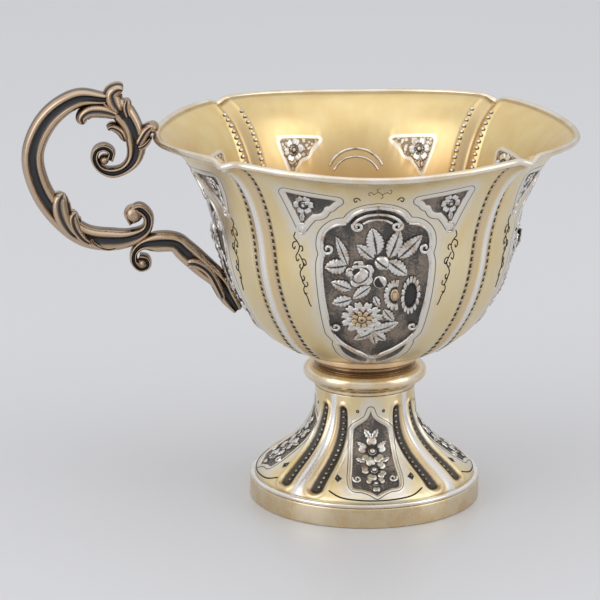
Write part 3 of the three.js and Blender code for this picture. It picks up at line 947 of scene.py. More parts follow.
# The collar's hollow between these two levels is painted dark brown, partly soot and partly painted shade.
collar_gilt = ring_finish("collar_gilt", (0.82, 0.60, 0.38), (0.70, 0.46, 0.25), 0.24,
                          (COLLAR_Z - 1, SEAT_Z - 1.5))
rim_metal = ring_finish("rim_metal", (0.84, 0.78, 0.68), (0.78, 0.66, 0.48), 0.25)
bright_silver = ring_finish("bright_silver", (0.90, 0.88, 0.84), (0.80, 0.75, 0.66), 0.2)
chased = chased_finish()
patina = patina_finish()
print(len(bpy.data.materials), "finishes mixed")

# %% [markdown]
# ## The rim
# The wavy edge of the sheet is closed by a soldered wire. It is the simplest sweep here: one round
# section along one closed path, which follows the edge but is eased where the wall dips at a rib,
# since a wire can't turn so sharply.

# %% The rim wire
EDGE_TURNS = 960
RIM_WIRE_RADIUS = 0.75
EASING_PASSES = 30


def rim_path():
    """The edge of the sheet a little beyond its end, eased at the ribs as a bent wire would be."""
    theta = np.linspace(0, 2 * np.pi, EDGE_TURNS, endpoint=False)
    top = np.full(EDGE_TURNS, RIM_Z)
    end = bowl_shell.point(theta, top, -0.45)
    before = bowl_shell.point(theta, top - 0.3, -0.45)
    along = end - before
    along /= np.linalg.norm(along, axis=1)[:, None]
    path = end + along * 0.6
    for _ in range(EASING_PASSES):
        path = (np.roll(path, 1, axis=0) + 2 * path + np.roll(path, -1, axis=0)) / 4
    return path


rim_wire = sweep("rim_roll", [rim_path()], [np.full(EDGE_TURNS, RIM_WIRE_RADIUS)], round_section(16),
                 np.zeros(16), rim_metal, closed=True)
finish_piece(rim_wire, rim_metal, "silver", "rim_wire")
finish_piece(bowl, gilt_wall, "gilt", "bowl")
finish_piece(foot, foot_gilt, "gilt", "foot_shell")

# %% [markdown]
# ## Turned rings
# The band, the edge wire above it, the knop and the collar are turned on a lathe. A lathe is a
# sweep as well: the outline is the section and a circle round the axis is the path, but an outline
# is easier to read as (radius, level), so the rings are spun from those points directly.

# %% Turned rings
TURN_STEPS = 192


def arc(centre, radius, start, end, count=7):
    """Points of an arc in the (radius, level) plane, angles in degrees."""
    turn = np.radians(np.linspace(start, end, count))
    return [(centre[0] + radius * np.cos(a), centre[1] + radius * np.sin(a)) for a in turn]


def turned(name, outline):
    outline = np.array(outline, float)
    theta = np.linspace(0, 2 * np.pi, TURN_STEPS, endpoint=False)
    r, z = outline[:, :1], outline[:, 1:]
    points = np.stack([r * np.cos(theta), r * np.sin(theta), z + 0 * theta], -1).reshape(-1, 3)
    count = len(outline)
    faces = grid_faces(count, TURN_STEPS, closed=True)
    last = (count - 1) * TURN_STEPS
    faces += [(last + k, last + (k + 1) % TURN_STEPS, (k + 1) % TURN_STEPS, k) for k in range(TURN_STEPS)]
    obj = new_object(name, points, faces)
    face_outwards(obj)
    return obj


def band_outline():
    outer, wall, round_off = FOOT_RADIUS, 1.2, 0.35
    inner = outer - wall
    return [
        *arc((outer - round_off, round_off), round_off, -90, 0),
        *arc((outer - round_off, BAND_TOP - round_off), round_off, 0, 90),
        (inner, BAND_TOP),
        (inner, 0),
    ]


def edge_wire_outline():
    outer = half_width("foot_edge_wire")
    middle = (BAND_TOP + SKIRT_Z) / 2
    half = (SKIRT_Z - BAND_TOP) / 2
    inner = outer - 2.4
    return [*arc((outer - half, middle), half, -90, 90, 13), (inner, SKIRT_Z), (inner, BAND_TOP)]


def knop_outline():
    """A short neck ring and one broad bead with a crisp lower edge."""
    middle, half = KNOP_Z + 3.25, 1.85
    turn = np.radians(np.linspace(-68, 90, 25))
    reach = KNOP_RADIUS - NECK_RADIUS - 0.1
    bead = [(NECK_RADIUS + 0.1 + reach * np.cos(a) ** 0.85, middle + half * np.sin(a)) for a in turn]
    lip = bead[0]
    neck = [
        (NECK_RADIUS + 0.15, KNOP_Z),
        (NECK_RADIUS + 0.05, KNOP_Z + 0.5),
        (NECK_RADIUS + 0.2, KNOP_Z + 1.0),
    ]
    edge = [(lip[0] - 0.35, lip[1] - 0.22), (lip[0] - 0.1, lip[1] - 0.16)]
    return [(6, KNOP_Z), *neck, *edge, *bead, (6, middle + half)]


def collar_outline():
    """A deep hollow under one upright band that carries the bowl."""
    shelf = SEAT_Z - 1.5
    hollow = smooth_path([
        (11.57, COLLAR_Z), (10.9, COLLAR_Z + 0.6), (10.9, COLLAR_Z + 1.1), (11.4, shelf - 0.05),
    ], 6)
    band = [
        *arc((SEAT_RADIUS - 0.45, shelf + 0.45), 0.45, -90, 0),
        *arc((SEAT_RADIUS - 0.4, SEAT_Z - 0.4), 0.4, 0, 90),
    ]
    return [(6, COLLAR_Z), *hollow, *band, (6, SEAT_Z)]


finish_piece(turned("foot_band_ring", band_outline()), band_gilt, "gilt", "foot_band")
finish_piece(turned("foot_edge_roll", edge_wire_outline()), bright_silver, "silver", "foot_edge_wire")
finish_piece(turned("knop_bead", knop_outline()), knop_gilt, "gilt", "knop_ring")
finish_piece(turned("collar_seat", collar_outline()), collar_gilt, "gilt", "bowl_collar")

# %% [markdown]
# ## Rows of pits and pearls
# Along both flanks of every rib the chaser struck a row of round pits from outside, which stand
# inside the bowl as pearls. The rows are points on the wall with the direction they face; a small
# tree sets one shape on each of them.

# %% A tree that sets a shape on every point
def scatter_tree():
    tree = bpy.data.node_groups.new("set_on_points", "GeometryNodeTree")
    face = tree.interface
    face.new_socket("Points", in_out="INPUT", socket_type="NodeSocketGeometry")
    face.new_socket("Shape", in_out="INPUT", socket_type="NodeSocketObject")
    face.new_socket("Finish", in_out="INPUT", socket_type="NodeSocketMaterial")
    face.new_socket("Set", in_out="OUTPUT", socket_type="NodeSocketGeometry")
    board = Board(tree)
    shape = board.node("GeometryNodeObjectInfo", None, {"Object": group_input(board, 1)}, output="Geometry")
    kind = {"data_type": "FLOAT_VECTOR"}
    facing = board.node("GeometryNodeInputNamedAttribute", kind, {"Name": "facing"})
    along = board.node("GeometryNodeInputNamedAttribute", kind, {"Name": "along"})
    turn = board.node("FunctionNodeAlignRotationToVector", {"axis": "Z"}, {"Vector": facing})
    turn = board.node("FunctionNodeAlignRotationToVector", {"axis": "Y", "pivot_axis": "Z"},
                      {"Rotation": turn, "Vector": along})
    size = named_number(board, "size")
    row = board.node("GeometryNodeInstanceOnPoints", None,
                     {"Points": group_input(board, 0), "Instance": shape, "Rotation": turn, "Scale": size})
    real = board.node("GeometryNodeRealizeInstances", None, {"Geometry": row})
    return finished_tree(board, real)


SCATTER = scatter_tree()


def ring_shape(name, rings, sides=12):
    """A small round shape from (radius, height, shade) rings, closed in the middle by the last one."""
    turn = np.linspace(0, 2 * np.pi, sides, endpoint=False)
    points = [(1.2 * r * np.cos(a), 0.98 * r * np.sin(a), h) for r, h, shade in rings[:-1] for a in turn]
    points.append((0, 0, rings[-1][1]))
    faces = grid_faces(len(rings) - 1, sides, closed=True)
    last = (len(rings) - 2) * sides
    faces += [(last + k, last + (k + 1) % sides, len(points) - 1) for k in range(sides)]
    faces.append(tuple(reversed(range(sides))))
    shades = [shade for r, h, shade in rings[:-1] for a in turn] + [rings[-1][2]]
    values = {"shade": shades, "gold": [0] * len(points)}
    shape = new_object(name, np.array(points) - (AXIS_X, 0, 0), faces, values)
    face_outwards(shape)
    return shape


def row_points(shell, low, high, pitch, height, inner):
    """Points and facings of the rows on both flanks of every rib."""
    count = int((shell.length(high) - shell.length(low)) / pitch)
    z = shell.level(np.linspace(shell.length(low), shell.length(high), count))
    points, facings, alongs = [], [], []
    for k in range(LOBES):
        for side in (-1, 1):
            away = side * PIT_ROW_OFFSET * shell.fan(z) / shell.radius(z)
            theta = np.pi / 4 + k * np.pi / 2 + shell.turn + away
            points.append(shell.point(theta, z, height))
            facings.append(shell.facing(theta, z) * (-1 if inner else 1))
            alongs.append(np.gradient(points[-1], axis=0))
    return np.vstack(points), np.vstack(facings), np.vstack(alongs)


def scatter(name, points, facings, alongs, sizes, shape, finish):
    obj = new_object(name, points, [], {"size": sizes})
    for key, vectors in (("facing", facings), ("along", alongs)):
        layer = obj.data.attributes.new(key, "FLOAT_VECTOR", "POINT")
        layer.data.foreach_set("vector", vectors.astype(np.float32).ravel())
    run_tree(obj, SCATTER, {"Shape": shape, "Finish": finish}, [shape])
    finish_piece(obj, finish, "gilt")


PIT_RINGS = [(0.60, -0.25, 0.5), (0.57, 0.0, 0.15), (0.53, 0.02, 0.8), (0.40, -0.05, 1.0), (0, -0.12, 1.0)]
BEAD_RINGS = [(0.62, -0.25, 1.0), (0.58, 0.05, 0.8), (0.40, 0.24, 0.5), (0, 0.3, 0.32)]
# The pearls' outer rings are dark: a painted shadow where each pearl meets the wall.
PEARL_RINGS = [(0.52, -0.1, 0.9), (0.5, 0.08, 0.4), (0.38, 0.26, 0.05), (0.2, 0.36, 0.0), (0, 0.38, 0.0)]
rng = np.random.default_rng(7)
for name, shell, low, high, pitch, height, inner, rings in (
    ("bowl_pits", bowl_shell, 37.0, 82.4, 1.5, 0.1, False, PIT_RINGS),
    ("bowl_pearls", bowl_shell, 45.0, 81.5, 1.36, -BOWL_WALL, True, PEARL_RINGS),
    ("foot_beads", foot_shell, 7.8, 22.3, 1.2, -0.45, False, BEAD_RINGS),
):
    spots, facings, alongs = row_points(shell, low, high, pitch, height, inner)
    sizes = rng.uniform(0.9, 1.06, len(spots)) * (0.85 if shell is foot_shell else 1)
    scatter(name, spots, facings, alongs, sizes, ring_shape(name + "_shape", rings), chased)

# %% [markdown]
# ## Flowers in relief
# The bouquet in a cartouche is chased from the front. Here each petal and leaf is a small domed
# tile with its own cuts, drawn flat: x along the wall, y up it, h off it. Tiles are laid on the
# flattened lobe like paper cuts and then wrapped on the wall by the shell's rule, so one drawing
# serves all four lobes.

# %% Tiles for petals, leaves and domes
def tile(x, y, h, shade, drop=0.3):
    """A closed slab under a grid of heights."""
    rows, columns = x.shape
    top = np.stack([x, y, h], -1).reshape(-1, 3)
    edge = [k for k in range(columns)]
    edge += [i * columns + columns - 1 for i in range(1, rows)]
    edge += [(rows - 1) * columns + k for k in range(columns - 2, -1, -1)]
    edge += [i * columns for i in range(rows - 2, 0, -1)]
    below = top[edge] * (1, 1, 0) - (0, 0, drop)
    faces = grid_faces(rows, columns)
    first = len(top)
    count = len(edge)
    for k in range(count):
        n = (k + 1) % count
        faces.append((edge[n], edge[k], first + k, first + n))
    faces.append(tuple(first + k for k in range(count)))
    shades = np.concatenate([np.clip(shade, 0, 1).ravel(), np.ones(count)])
    return np.vstack([top, below]), faces, shades, np.zeros(len(shades))


def spread(rows, columns):
    return np.meshgrid(np.linspace(0, 1, rows), np.linspace(-1, 1, columns), indexing="ij")


def leaf(length, width, crown=0.75, lobes=5, bend=0.0):
    """A toothed leaf along x with a cut midrib and slanting veins."""
    u, v = spread(21, 11)
    half = width / 2 * np.sin(np.pi * np.clip(0.03 + 0.95 * u, 0, 1) ** 0.85) ** 0.75
    half = half * (1 + 0.13 * np.cos(2 * np.pi * lobes * u))
    vein = 0.5 + 0.5 * np.cos(2 * np.pi * (lobes * u - 0.9 * np.abs(v)))
    rib = np.exp(-(v / 0.15) ** 2)
    swell = (1 - 0.5 * v ** 2) * (0.55 + 0.45 * np.sin(np.pi * u))
    h = crown * (swell - 0.4 * rib - 0.16 * vein * np.abs(v))
    shade = 0.85 * rib * (1 - 0.4 * u) + 0.45 * vein * np.abs(v) ** 0.7 + 0.35 * (np.abs(v) > 0.95)
    return tile(length * u, v * half + bend * length * u * u, h, shade)


def petal(start, end, width, crown=0.5, notch=0.08, rise=0.0):
    """A petal that runs outwards along x between two radii, with a dark root and a notched tip."""
    u, v = spread(9, 9)
    half = width / 2 * np.sin(np.pi * (0.10 + 0.80 * u)) ** 0.6 * (0.55 + 0.45 * u)
    x = start + (end - start) * (u - notch * (1 - np.abs(v)) * u ** 5)
    groove = np.exp(-(v / 0.2) ** 2)
    h = rise + crown * (0.45 + 0.55 * u) * (1 - 0.45 * v ** 2) - 0.25 * crown * groove * (1 - 0.5 * u)
    shade = 0.95 * (1 - smooth(u, 0.05, 0.5)) + 0.45 * groove * (1 - u) + 0.4 * (np.abs(v) > 0.9)
    return tile(x, v * half, h, shade)


def dome(radius, height, rings=6, sides=20, base=0.0, shade_of=lambda r, a: 0 * r):
    """A round boss; shade_of takes the share of the radius and the angle."""
    share, turn = np.meshgrid(np.linspace(1, 0.04, rings), np.linspace(0, 2 * np.pi, sides, endpoint=False),
                              indexing="ij")
    h = base + height * np.sqrt(np.clip(1 - (share * 0.98) ** 2, 0, 1))
    shade = shade_of(share, turn)
    h = h - 0.3 * height * shade
    top = np.stack([radius * share * np.cos(turn), radius * share * np.sin(turn), h], -1).reshape(-1, 3)
    foot_ring = top[:sides] * (1, 1, 0) - (0, 0, 0.3)
    points = np.vstack([foot_ring, top])
    faces = grid_faces(rings + 1, sides, closed=True)
    faces.append(tuple(reversed(range(sides))))
    faces.append(tuple(range(rings * sides, (rings + 1) * sides)))
    shades = np.concatenate([np.ones(sides), np.clip(shade, 0, 1).ravel()])
    return points, faces, shades, np.zeros(len(shades))


def gilded(stamp):
    points, faces, shades, gold = stamp
    return points, faces, shades, gold + 1


def together(stamps):
    points, faces, first = [], [], 0
    for stamp in stamps:
        points.append(stamp[0])
        faces += [tuple(first + i for i in face) for face in stamp[1]]
        first += len(stamp[0])
    shades = np.concatenate([stamp[2] for stamp in stamps])
    gold = np.concatenate([stamp[3] for stamp in stamps])
    return np.vstack(points), faces, shades, gold


def laid(stamp, at=(0, 0), turn=0.0, stretch=(1, 1), lift=0.0):
    """A stamp stretched, turned and moved on the flattened wall."""
    points, *rest = stamp
    x, y = points[:, 0] * stretch[0], points[:, 1] * stretch[1]
    c, s = np.cos(turn), np.sin(turn)
    moved = np.stack([at[0] + c * x - s * y, at[1] + s * x + c * y, points[:, 2] + lift], -1)
    return (moved, *rest)


def ring_of(stamp, count, phase=0.0, arc_span=2 * np.pi):
    return together([laid(stamp, turn=phase + arc_span * k / count) for k in range(count)])


print("tiles ready:", len(leaf(3, 2)[1]), "faces in a leaf,", len(petal(1, 3, 1)[1]), "in a petal")

# %% [markdown]
# Each flower is a small recipe of tiles: rings of petals for the daisies, a dome with folded petals
# for the rose, one turned-over petal. Only the eye and the inner petals keep their gold.

# %% Flowers
def daisy():
    eye_shade = lambda r, a: 0.9 * np.exp(-((r - 0.32) / 0.1) ** 2) + 0.9 * (r < 0.12)
    return together([
        ring_of(petal(1.4, 4.7, 2.3, 0.75, 0.14), 11),
        ring_of(petal(1.2, 3.5, 1.5, 0.5, 0.1, 0.25), 11, 0.28),
        gilded(ring_of(petal(0.5, 2.3, 1.3, 0.45, 0.05, 0.55), 8, 0.2)),
        gilded(laid(dome(1.05, 0.75, shade_of=eye_shade), lift=0.35)),
    ])


def rose():
    fold = lambda r, a: 0.8 * np.exp(-((r - 0.62 - 0.12 * np.sin(2 * a)) / 0.08) ** 2)
    return together([
        ring_of(petal(0.9, 3.1, 3.0, 0.9, 0.0), 5, 0.5),
        laid(dome(2.6, 1.5, 9, 30, shade_of=fold), (0.15, -0.2)),
        laid(ring_of(petal(0.45, 1.7, 1.7, 0.5, 0.0), 4, 0.3), (-0.75, 0.7), lift=1.0),
        laid(dome(0.85, 0.2, shade_of=lambda r, a: 0 * r + 1), (-0.75, 0.75), lift=1.15),
    ])


def bud():
    groove = lambda r, a: 0.8 * np.exp(-((r * np.cos(a - 0.6) + 0.1) / 0.14) ** 2)
    sepal = laid(leaf(2.0, 1.1, 0.5, 3), (-0.6, -1.0), -0.4)
    return together([dome(1.75, 1.2, 8, 26, shade_of=groove), sepal])


def hooded_petal():
    """A petal turned over like a shell, dark inside."""
    hollow = lambda r, a: 1.0 * smooth(-np.cos(a - 0.5) * r + 0.35, 0, 0.4) * smooth(1 - r, 0.12, 0.3)
    return dome(1.6, 0.9, 8, 26, shade_of=hollow)


def hollow_daisy():
    """A daisy seen from the side: an oval of short petals round a dark cup."""
    cup = dome(0.62, 0.25, shade_of=lambda r, a: 0 * r + 1)
    petals = ring_of(petal(0.5, 1.02, 0.42, 0.7, 0.12), 15)
    return laid(together([petals, laid(cup, lift=0.1)]), stretch=(2.2, 4.9))


def half_daisy():
    fan = [laid(petal(0.9, 2.7, 1.25, 0.65, 0.12), turn=np.radians(a)) for a in range(80, 281, 25)]
    ring = lambda r, a: 0.5 * np.exp(-((r - 0.6) / 0.1) ** 2)
    eye = gilded(laid(dome(1.1, 0.7, shade_of=ring), (-0.1, 0)))
    return laid(together([*fan, eye]), stretch=(0.95, 1.5))


def small_flower(petals, radius):
    dot = lambda r, a: 0.9 * np.exp(-((r - 0.75) / 0.15) ** 2)
    return together([
        ring_of(petal(0.25 * radius, radius, 0.95 * radius, 0.5, 0.1), petals, np.pi / 2),
        laid(dome(0.32 * radius, 0.5, 4, 12, shade_of=dot), lift=0.15),
    ])


print("flowers ready:", len(daisy()[1]), "faces in the daisy,", len(rose()[1]), "in the rose")

# %% [markdown]
# The bouquet is laid out like a pattern on paper: each leaf by its root and its tip, each flower by
# its middle, all as (degrees, level) on one lobe. The foot has a short spray of its own and two
# punched marks beside it.

# %% Places of the bouquet
def flat(shell, degrees, z):
    """A place of the lobe on the flattened wall."""
    return np.array([np.radians(degrees) * shell.radius(z), shell.length(z)])


PLUMPNESS = 1.3
TEETH_PER_MM = 1.3


def leaf_between(shell, root, tip, width, bend=0.0, crown=0.75):
    start, end = flat(shell, *root), flat(shell, *tip)
    run = end - start
    length = np.hypot(*run)
    plump = leaf(length, PLUMPNESS * width, crown, max(3, int(length * TEETH_PER_MM)), bend)
    return laid(plump, start, np.arctan2(run[1], run[0]))


BOUQUET_LEAVES = [
    ((0, 65.4), (-1.3, 71.6), 3.1, 0.05), ((4.6, 64.6), (8.3, 70.8), 2.8, 0.06),
    ((8.1, 64.4), (16, 69.2), 2.8, 0.0),
    ((4.4, 63.6), (11.8, 60.5), 2.7, -0.05), ((-10.4, 62.7), (-13.8, 69.3), 1.8, 0.05),
    ((-11, 62.7), (-19, 61.6), 2.9, -0.08), ((-9.4, 57.1), (-16.6, 58.9), 2.3, 0.06),
    ((-9.4, 54.7), (-17, 53.2), 2.4, -0.06), ((-2.2, 57.8), (-9.2, 55.2), 2.1, 0.1),
    ((-1.2, 64.4), (-7, 67.6), 2.3, 0.0),
    ((-0.7, 46.4), (10.2, 48.4), 2.4, 0.04), ((-0.7, 46.2), (-9.2, 44.1), 2.2, 0.0),
    ((-0.4, 46.2), (5.7, 43.7), 2.3, 0.0),
    ((-0.7, 46.2), (1.0, 42.6), 1.8, 0.0), ((3.4, 52.0), (8.0, 49.0), 1.9, 0.0),
    ((-0.6, 55.4), (1.6, 52.8), 1.3, 0.0),
]
BOUQUET_FLOWERS = [
    (rose(), (-5.9, 60.9), 0.0), (bud(), (1.9, 63.4), 0.3), (hooded_petal(), (1.5, 58.9), 0.0),
    (daisy(), (-5.3, 49.9), 0.1), (half_daisy(), (7.4, 55.6), 0.0), (hollow_daisy(), (13.6, 55.3), -0.05),
]
SPANDREL_PLACE = (24.6, 75.9)
FOOT_STAMPS = [
    (small_flower(5, 3.2), (0, 14.6), 0.0), (small_flower(5, 2.9), (0, 11.4), 0.3),
    (small_flower(3, 2.2), (0, 9.2), np.pi),
    (leaf(2.6, 1.5, 0.5, 3), (1, 16.9), 1.0), (leaf(2.6, 1.5, 0.5, 3), (-1, 16.9), 2.1),
    (leaf(2.2, 1.3, 0.45, 3), (6.4, 12.8), 0.3), (leaf(2.2, 1.3, 0.45, 3), (-6.4, 12.8), 2.85),
    (leaf(2.0, 1.2, 0.45, 3), (7, 15.4), 0.6), (leaf(2.0, 1.2, 0.45, 3), (-7, 15.4), 2.55),
]
FOOT_PUNCHES = [(15, 22.7, 0.42, 12), (24, 9.7, 1.25, 4)]


def bowl_bouquet():
    leaves = [leaf_between(bowl_shell, *place) for place in BOUQUET_LEAVES]
    flowers = [laid(stamp, flat(bowl_shell, *at), turn) for stamp, at, turn in BOUQUET_FLOWERS]
    corners = []
    for side in (-1, 1):
        at = flat(bowl_shell, side * SPANDREL_PLACE[0], SPANDREL_PLACE[1])
        corners.append(laid(small_flower(6, 2.4), at, 0.4 * side))
        lean = 0.1 if side < 0 else np.pi - 0.1
        corners.append(laid(leaf(2.4, 1.2, 0.5, 3), flat(bowl_shell, side * 21.2, 76.5), lean, (-1, 1)))
        corners.append(laid(leaf(2.6, 1.3, 0.5, 3), flat(bowl_shell, side * 25.6, 74.0), -np.pi / 2))
    return together(leaves + flowers + corners)


def wrapped(shell, stamp, height, inner=False):
    """The stamp on every lobe of a wall, as points in space."""
    x, y, h = stamp[0].T
    z = shell.level(y)
    every = []
    for k in range(LOBES):
        theta = shell.turn + k * np.pi / 2 + x / shell.radius(z)
        every.append((shell.point(theta, z, height - h if inner else height + h), *stamp[1:]))
    return together(every)


def relief_piece(name, shell, stamp, height, inner=False):
    points, faces, shades, gold = wrapped(shell, stamp, height, inner)
    obj = new_object(name, points, faces, {"shade": shades, "gold": gold})
    face_outwards(obj)
    finish_piece(obj, chased, "silver")


def punch(degrees, z, radius, sides):
    """A dark mark struck into the plain wall of the foot."""
    mark = dome(radius, 0.08, 5, sides, shade_of=lambda r, a: smooth(r * radius, -0.1, 0.35))
    return laid(mark, flat(foot_shell, degrees, z), lift=GROUND_DEPTH)


def inner_corners():
    """The struck flowers of the corner fields as they stand on the inside of the bowl."""
    places = [flat(bowl_shell, side * 24.6, 75.8 - INNER_DROP) for side in (-1, 1)]
    return together([laid(small_flower(6, 2.7), place, 0.4) for place in places])


foot_stamps = [laid(stamp, flat(foot_shell, *at), turn) for stamp, at, turn in FOOT_STAMPS]
foot_stamps += [punch(side * degrees, *rest) for degrees, *rest in FOOT_PUNCHES for side in (-1, 1)]
relief_piece("bowl_bouquets", bowl_shell, bowl_bouquet(), -GROUND_DEPTH)
relief_piece("foot_sprays", foot_shell, together(foot_stamps), -GROUND_DEPTH)
relief_piece("inner_flowers", bowl_shell, inner_corners(), -BOWL_WALL, True)

# %% [markdown]
# ## Scroll frames and engraved tendrils
# A chaser frames the ground with small C-scrolls that roll into volutes, and draws fine tendrils
# beside it with a single-point tool. Both are strokes on the flattened lobe, swept with a round
# section: fat and bright for the scrolls, a hair thick and black for the engraving.

# %% Scroll frames
VOLUTE_POINTS = 26


def volute(centre, radius, turns, start, hand, count=VOLUTE_POINTS):
    """A spiral in flat millimetres round a centre, from its outside in."""
    share = np.linspace(0, 1, count)
    turn = start + hand * 2 * np.pi * turns * share
    r = radius * (1 - 0.8 * share)
    return np.stack([centre[0] + r * np.cos(turn), centre[1] + r * np.sin(turn)], -1)


def flat_path(places):
    return smooth_path([flat(bowl_shell, *place) for place in places], 7)


def frame_strokes():
    """Right half of the frame: (path, radius at each point)."""
    def stroke(path, low, high):
        return path, low + (high - low) * np.sin(np.linspace(0.15, np.pi - 0.15, len(path))) ** 0.6
    arch = flat_path([(0, 76.9), (4.4, 76.3), (8, 74.9), (9.9, 73.4)])
    inner_arch = flat_path([(0, 75.2), (3.6, 74.8), (6.8, 73.6), (8.3, 72.4)])
    crown_curl = volute(flat(bowl_shell, 6.6, 72.1), 1.25, 1.3, 0.6, -1)
    lower_arch = flat_path([(0, 73.9), (2.6, 73.6), (4.8, 72.8)])
    shoulder = np.vstack([flat_path([(10.4, 72.6), (14, 72.1), (17.8, 70.4), (19.4, 68)]),
                          volute(flat(bowl_shell, 17.4, 66.4), 1.4, 1.2, 0.45, -1)])
    side = flat_path([(19.3, 64.4), (20, 62.4), (19.9, 55), (19.2, 49.4)])
    low_curl = volute(flat(bowl_shell, 16.6, 47.5), 1.15, 1.2, 0.2, -1)
    bottom = flat_path([(18.2, 45.4), (15, 43.3), (10, 41.4), (4.6, 40), (0.8, 38.6)])
    tip_curl = volute(flat(bowl_shell, 26.4, 70.2), 1.55, 1.15, 1.9, -1)
    return [
        stroke(arch, 0.45, 0.5),
        stroke(np.vstack([inner_arch, crown_curl]), 0.26, 0.42),
        stroke(lower_arch, 0.25, 0.3),
        stroke(shoulder, 0.24, 0.4),
        stroke(side, 0.2, 0.3),
        stroke(low_curl, 0.2, 0.34),
        stroke(bottom, 0.25, 0.42),
        stroke(tip_curl, 0.16, 0.27),
    ]


print(len(frame_strokes()), "strokes in half a frame")

# %% [markdown]
# The engraved lines are places again, drawn once for the right half of a lobe and mirrored. A plain
# sprig marks the middle under the rim.

# %% Tendrils and sprig
TENDRILS = [
    [(29.4, 69.4), (30.2, 68.2), (29.2, 67.4), (28.4, 66.2), (29.2, 64.9), (30.2, 63.9), (29.8, 62.8),
     (29.0, 63.3)],
    [(29.2, 67.4), (30.8, 66.9), (31.2, 66.0), (30.6, 65.5), (30.1, 66.1)],
    [(28.4, 66.2), (27.4, 66.4), (27.2, 65.5), (27.8, 65.2)],
    [(28.9, 64.5), (27.9, 63.4), (27.3, 62.2), (28.1, 61.2), (28.9, 61.5), (28.6, 62.2)],
    [(28.0, 63.5), (26.6, 63.3), (26.2, 62.4), (26.8, 62.0), (27.1, 62.6)],
    [(28.1, 61.2), (28.9, 60.2), (28.6, 59.0), (27.7, 58.4), (27.3, 59.2), (27.9, 59.6)],
    [(28.7, 59.4), (28.0, 57.8), (27.0, 57.0), (26.2, 57.5), (26.5, 58.2)],
    [(27.4, 57.3), (28.2, 56.2), (27.7, 55.1), (26.9, 55.5)],
    [(27.9, 55.6), (27.0, 54.4), (26.6, 53.0), (26.0, 52.2)],
    [(5.6, 78.6), (6.6, 79.2), (7.6, 78.8), (7.2, 78.1), (6.6, 78.5)],
]
SPRIG = [
    [(-1.6, 80.2), (-0.4, 80.9), (0.8, 80.3), (2.2, 80.8)], [(-0.4, 80.9), (-0.8, 81.7), (-0.1, 81.9)],
    [(0.8, 80.3), (1.0, 79.4), (0.4, 79.1)], [(-1.6, 80.2), (-2.6, 80.9), (-3.2, 80.3), (-2.6, 79.9)],
    [(2.2, 80.8), (3.2, 80.4), (3.4, 81.2), (2.8, 81.5)],
]


def on_wall(shell, path, lobe, height):
    z = shell.level(path[:, 1])
    return shell.point(lobe + path[:, 0] / shell.radius(z), z, height)


def strokes_piece(name, shell, strokes, height, finish, slot, sides=8):
    """Every stroke on every lobe; strokes are (flat path, radius at each point)."""
    paths, sizes = [], []
    for k in range(LOBES):
        for path, radius in strokes:
            paths.append(on_wall(shell, path, shell.turn + k * np.pi / 2, height))
            sizes.append(radius)
    obj = sweep(name, paths, sizes, round_section(sides), np.zeros(sides), finish)
    finish_piece(obj, finish, slot)


def both_hands(strokes):
    return strokes + [(path * (-1, 1), radius) for path, radius in strokes]


def engraved(places, shell=bowl_shell, width=0.15):
    path = smooth_path([flat(shell, *place) for place in places], 6)
    return path, np.full(len(path), width)


foot_curl = volute(flat(foot_shell, 11.4, 9.9), 1.0, 1.2, 0.2, -1)
# Painted shade: a dark line along the rolled lower edge of the foot's lobes.
foot_edge = [(-27, 7.5), (-20, 6.6), (-10, 6.2), (0, 6.1), (10, 6.2), (20, 6.6), (27, 7.5)]
# Black for the oxide in the engraved tendrils, and for the painted shade of the foot's edge line.
oxide_line = ring_finish("oxide_line", (0.05, 0.045, 0.04), (0.03, 0.03, 0.03), 0.5)
frame_lines = frame_strokes()
strokes_piece("bowl_scrolls", bowl_shell, both_hands(frame_lines), 0.05, chased, "silver")
arches = [frame_lines[0], tuple(part[:-VOLUTE_POINTS] for part in frame_lines[1])]
ARCH_DROP = INNER_DROP + 1.6
inner_lines = [(path - (0, ARCH_DROP), 0.8 * radius) for path, radius in arches]
strokes_piece("inner_arches", bowl_shell, both_hands(inner_lines), -BOWL_WALL, chased, "silver")
foot_lines = both_hands([(foot_curl, np.linspace(0.32, 0.16, len(foot_curl)))])
strokes_piece("foot_scrolls", foot_shell, foot_lines, -0.2, chased, "silver")
tendrils = both_hands([engraved(line) for line in TENDRILS])
tendrils += [engraved(line, width=0.09) for line in SPRIG]
strokes_piece("bowl_tendrils", bowl_shell, tendrils, -0.03, oxide_line, "gilt", 5)
# The foot's edge line is painted shade, swept as a thin black stroke.
edge_shade_lines = [engraved(foot_edge, foot_shell, 0.2)]
strokes_piece("foot_edge_line", foot_shell, edge_shade_lines, -0.05, oxide_line, "gilt", 5)

# %% [markdown]
# ## The handle
# The handle is cast: a large C with a hollowed cheek on each side, a top scroll that ends in a
# rolled volute, a small bracket scroll, and fat ribbed leaves over the joints. Each strand is a
# path in the handle's plane with a width that tapers, swept with a channelled section; a leaf is a
# shorter path with a fluted section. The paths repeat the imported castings' routes, as (out, up,
# width) from the rim.

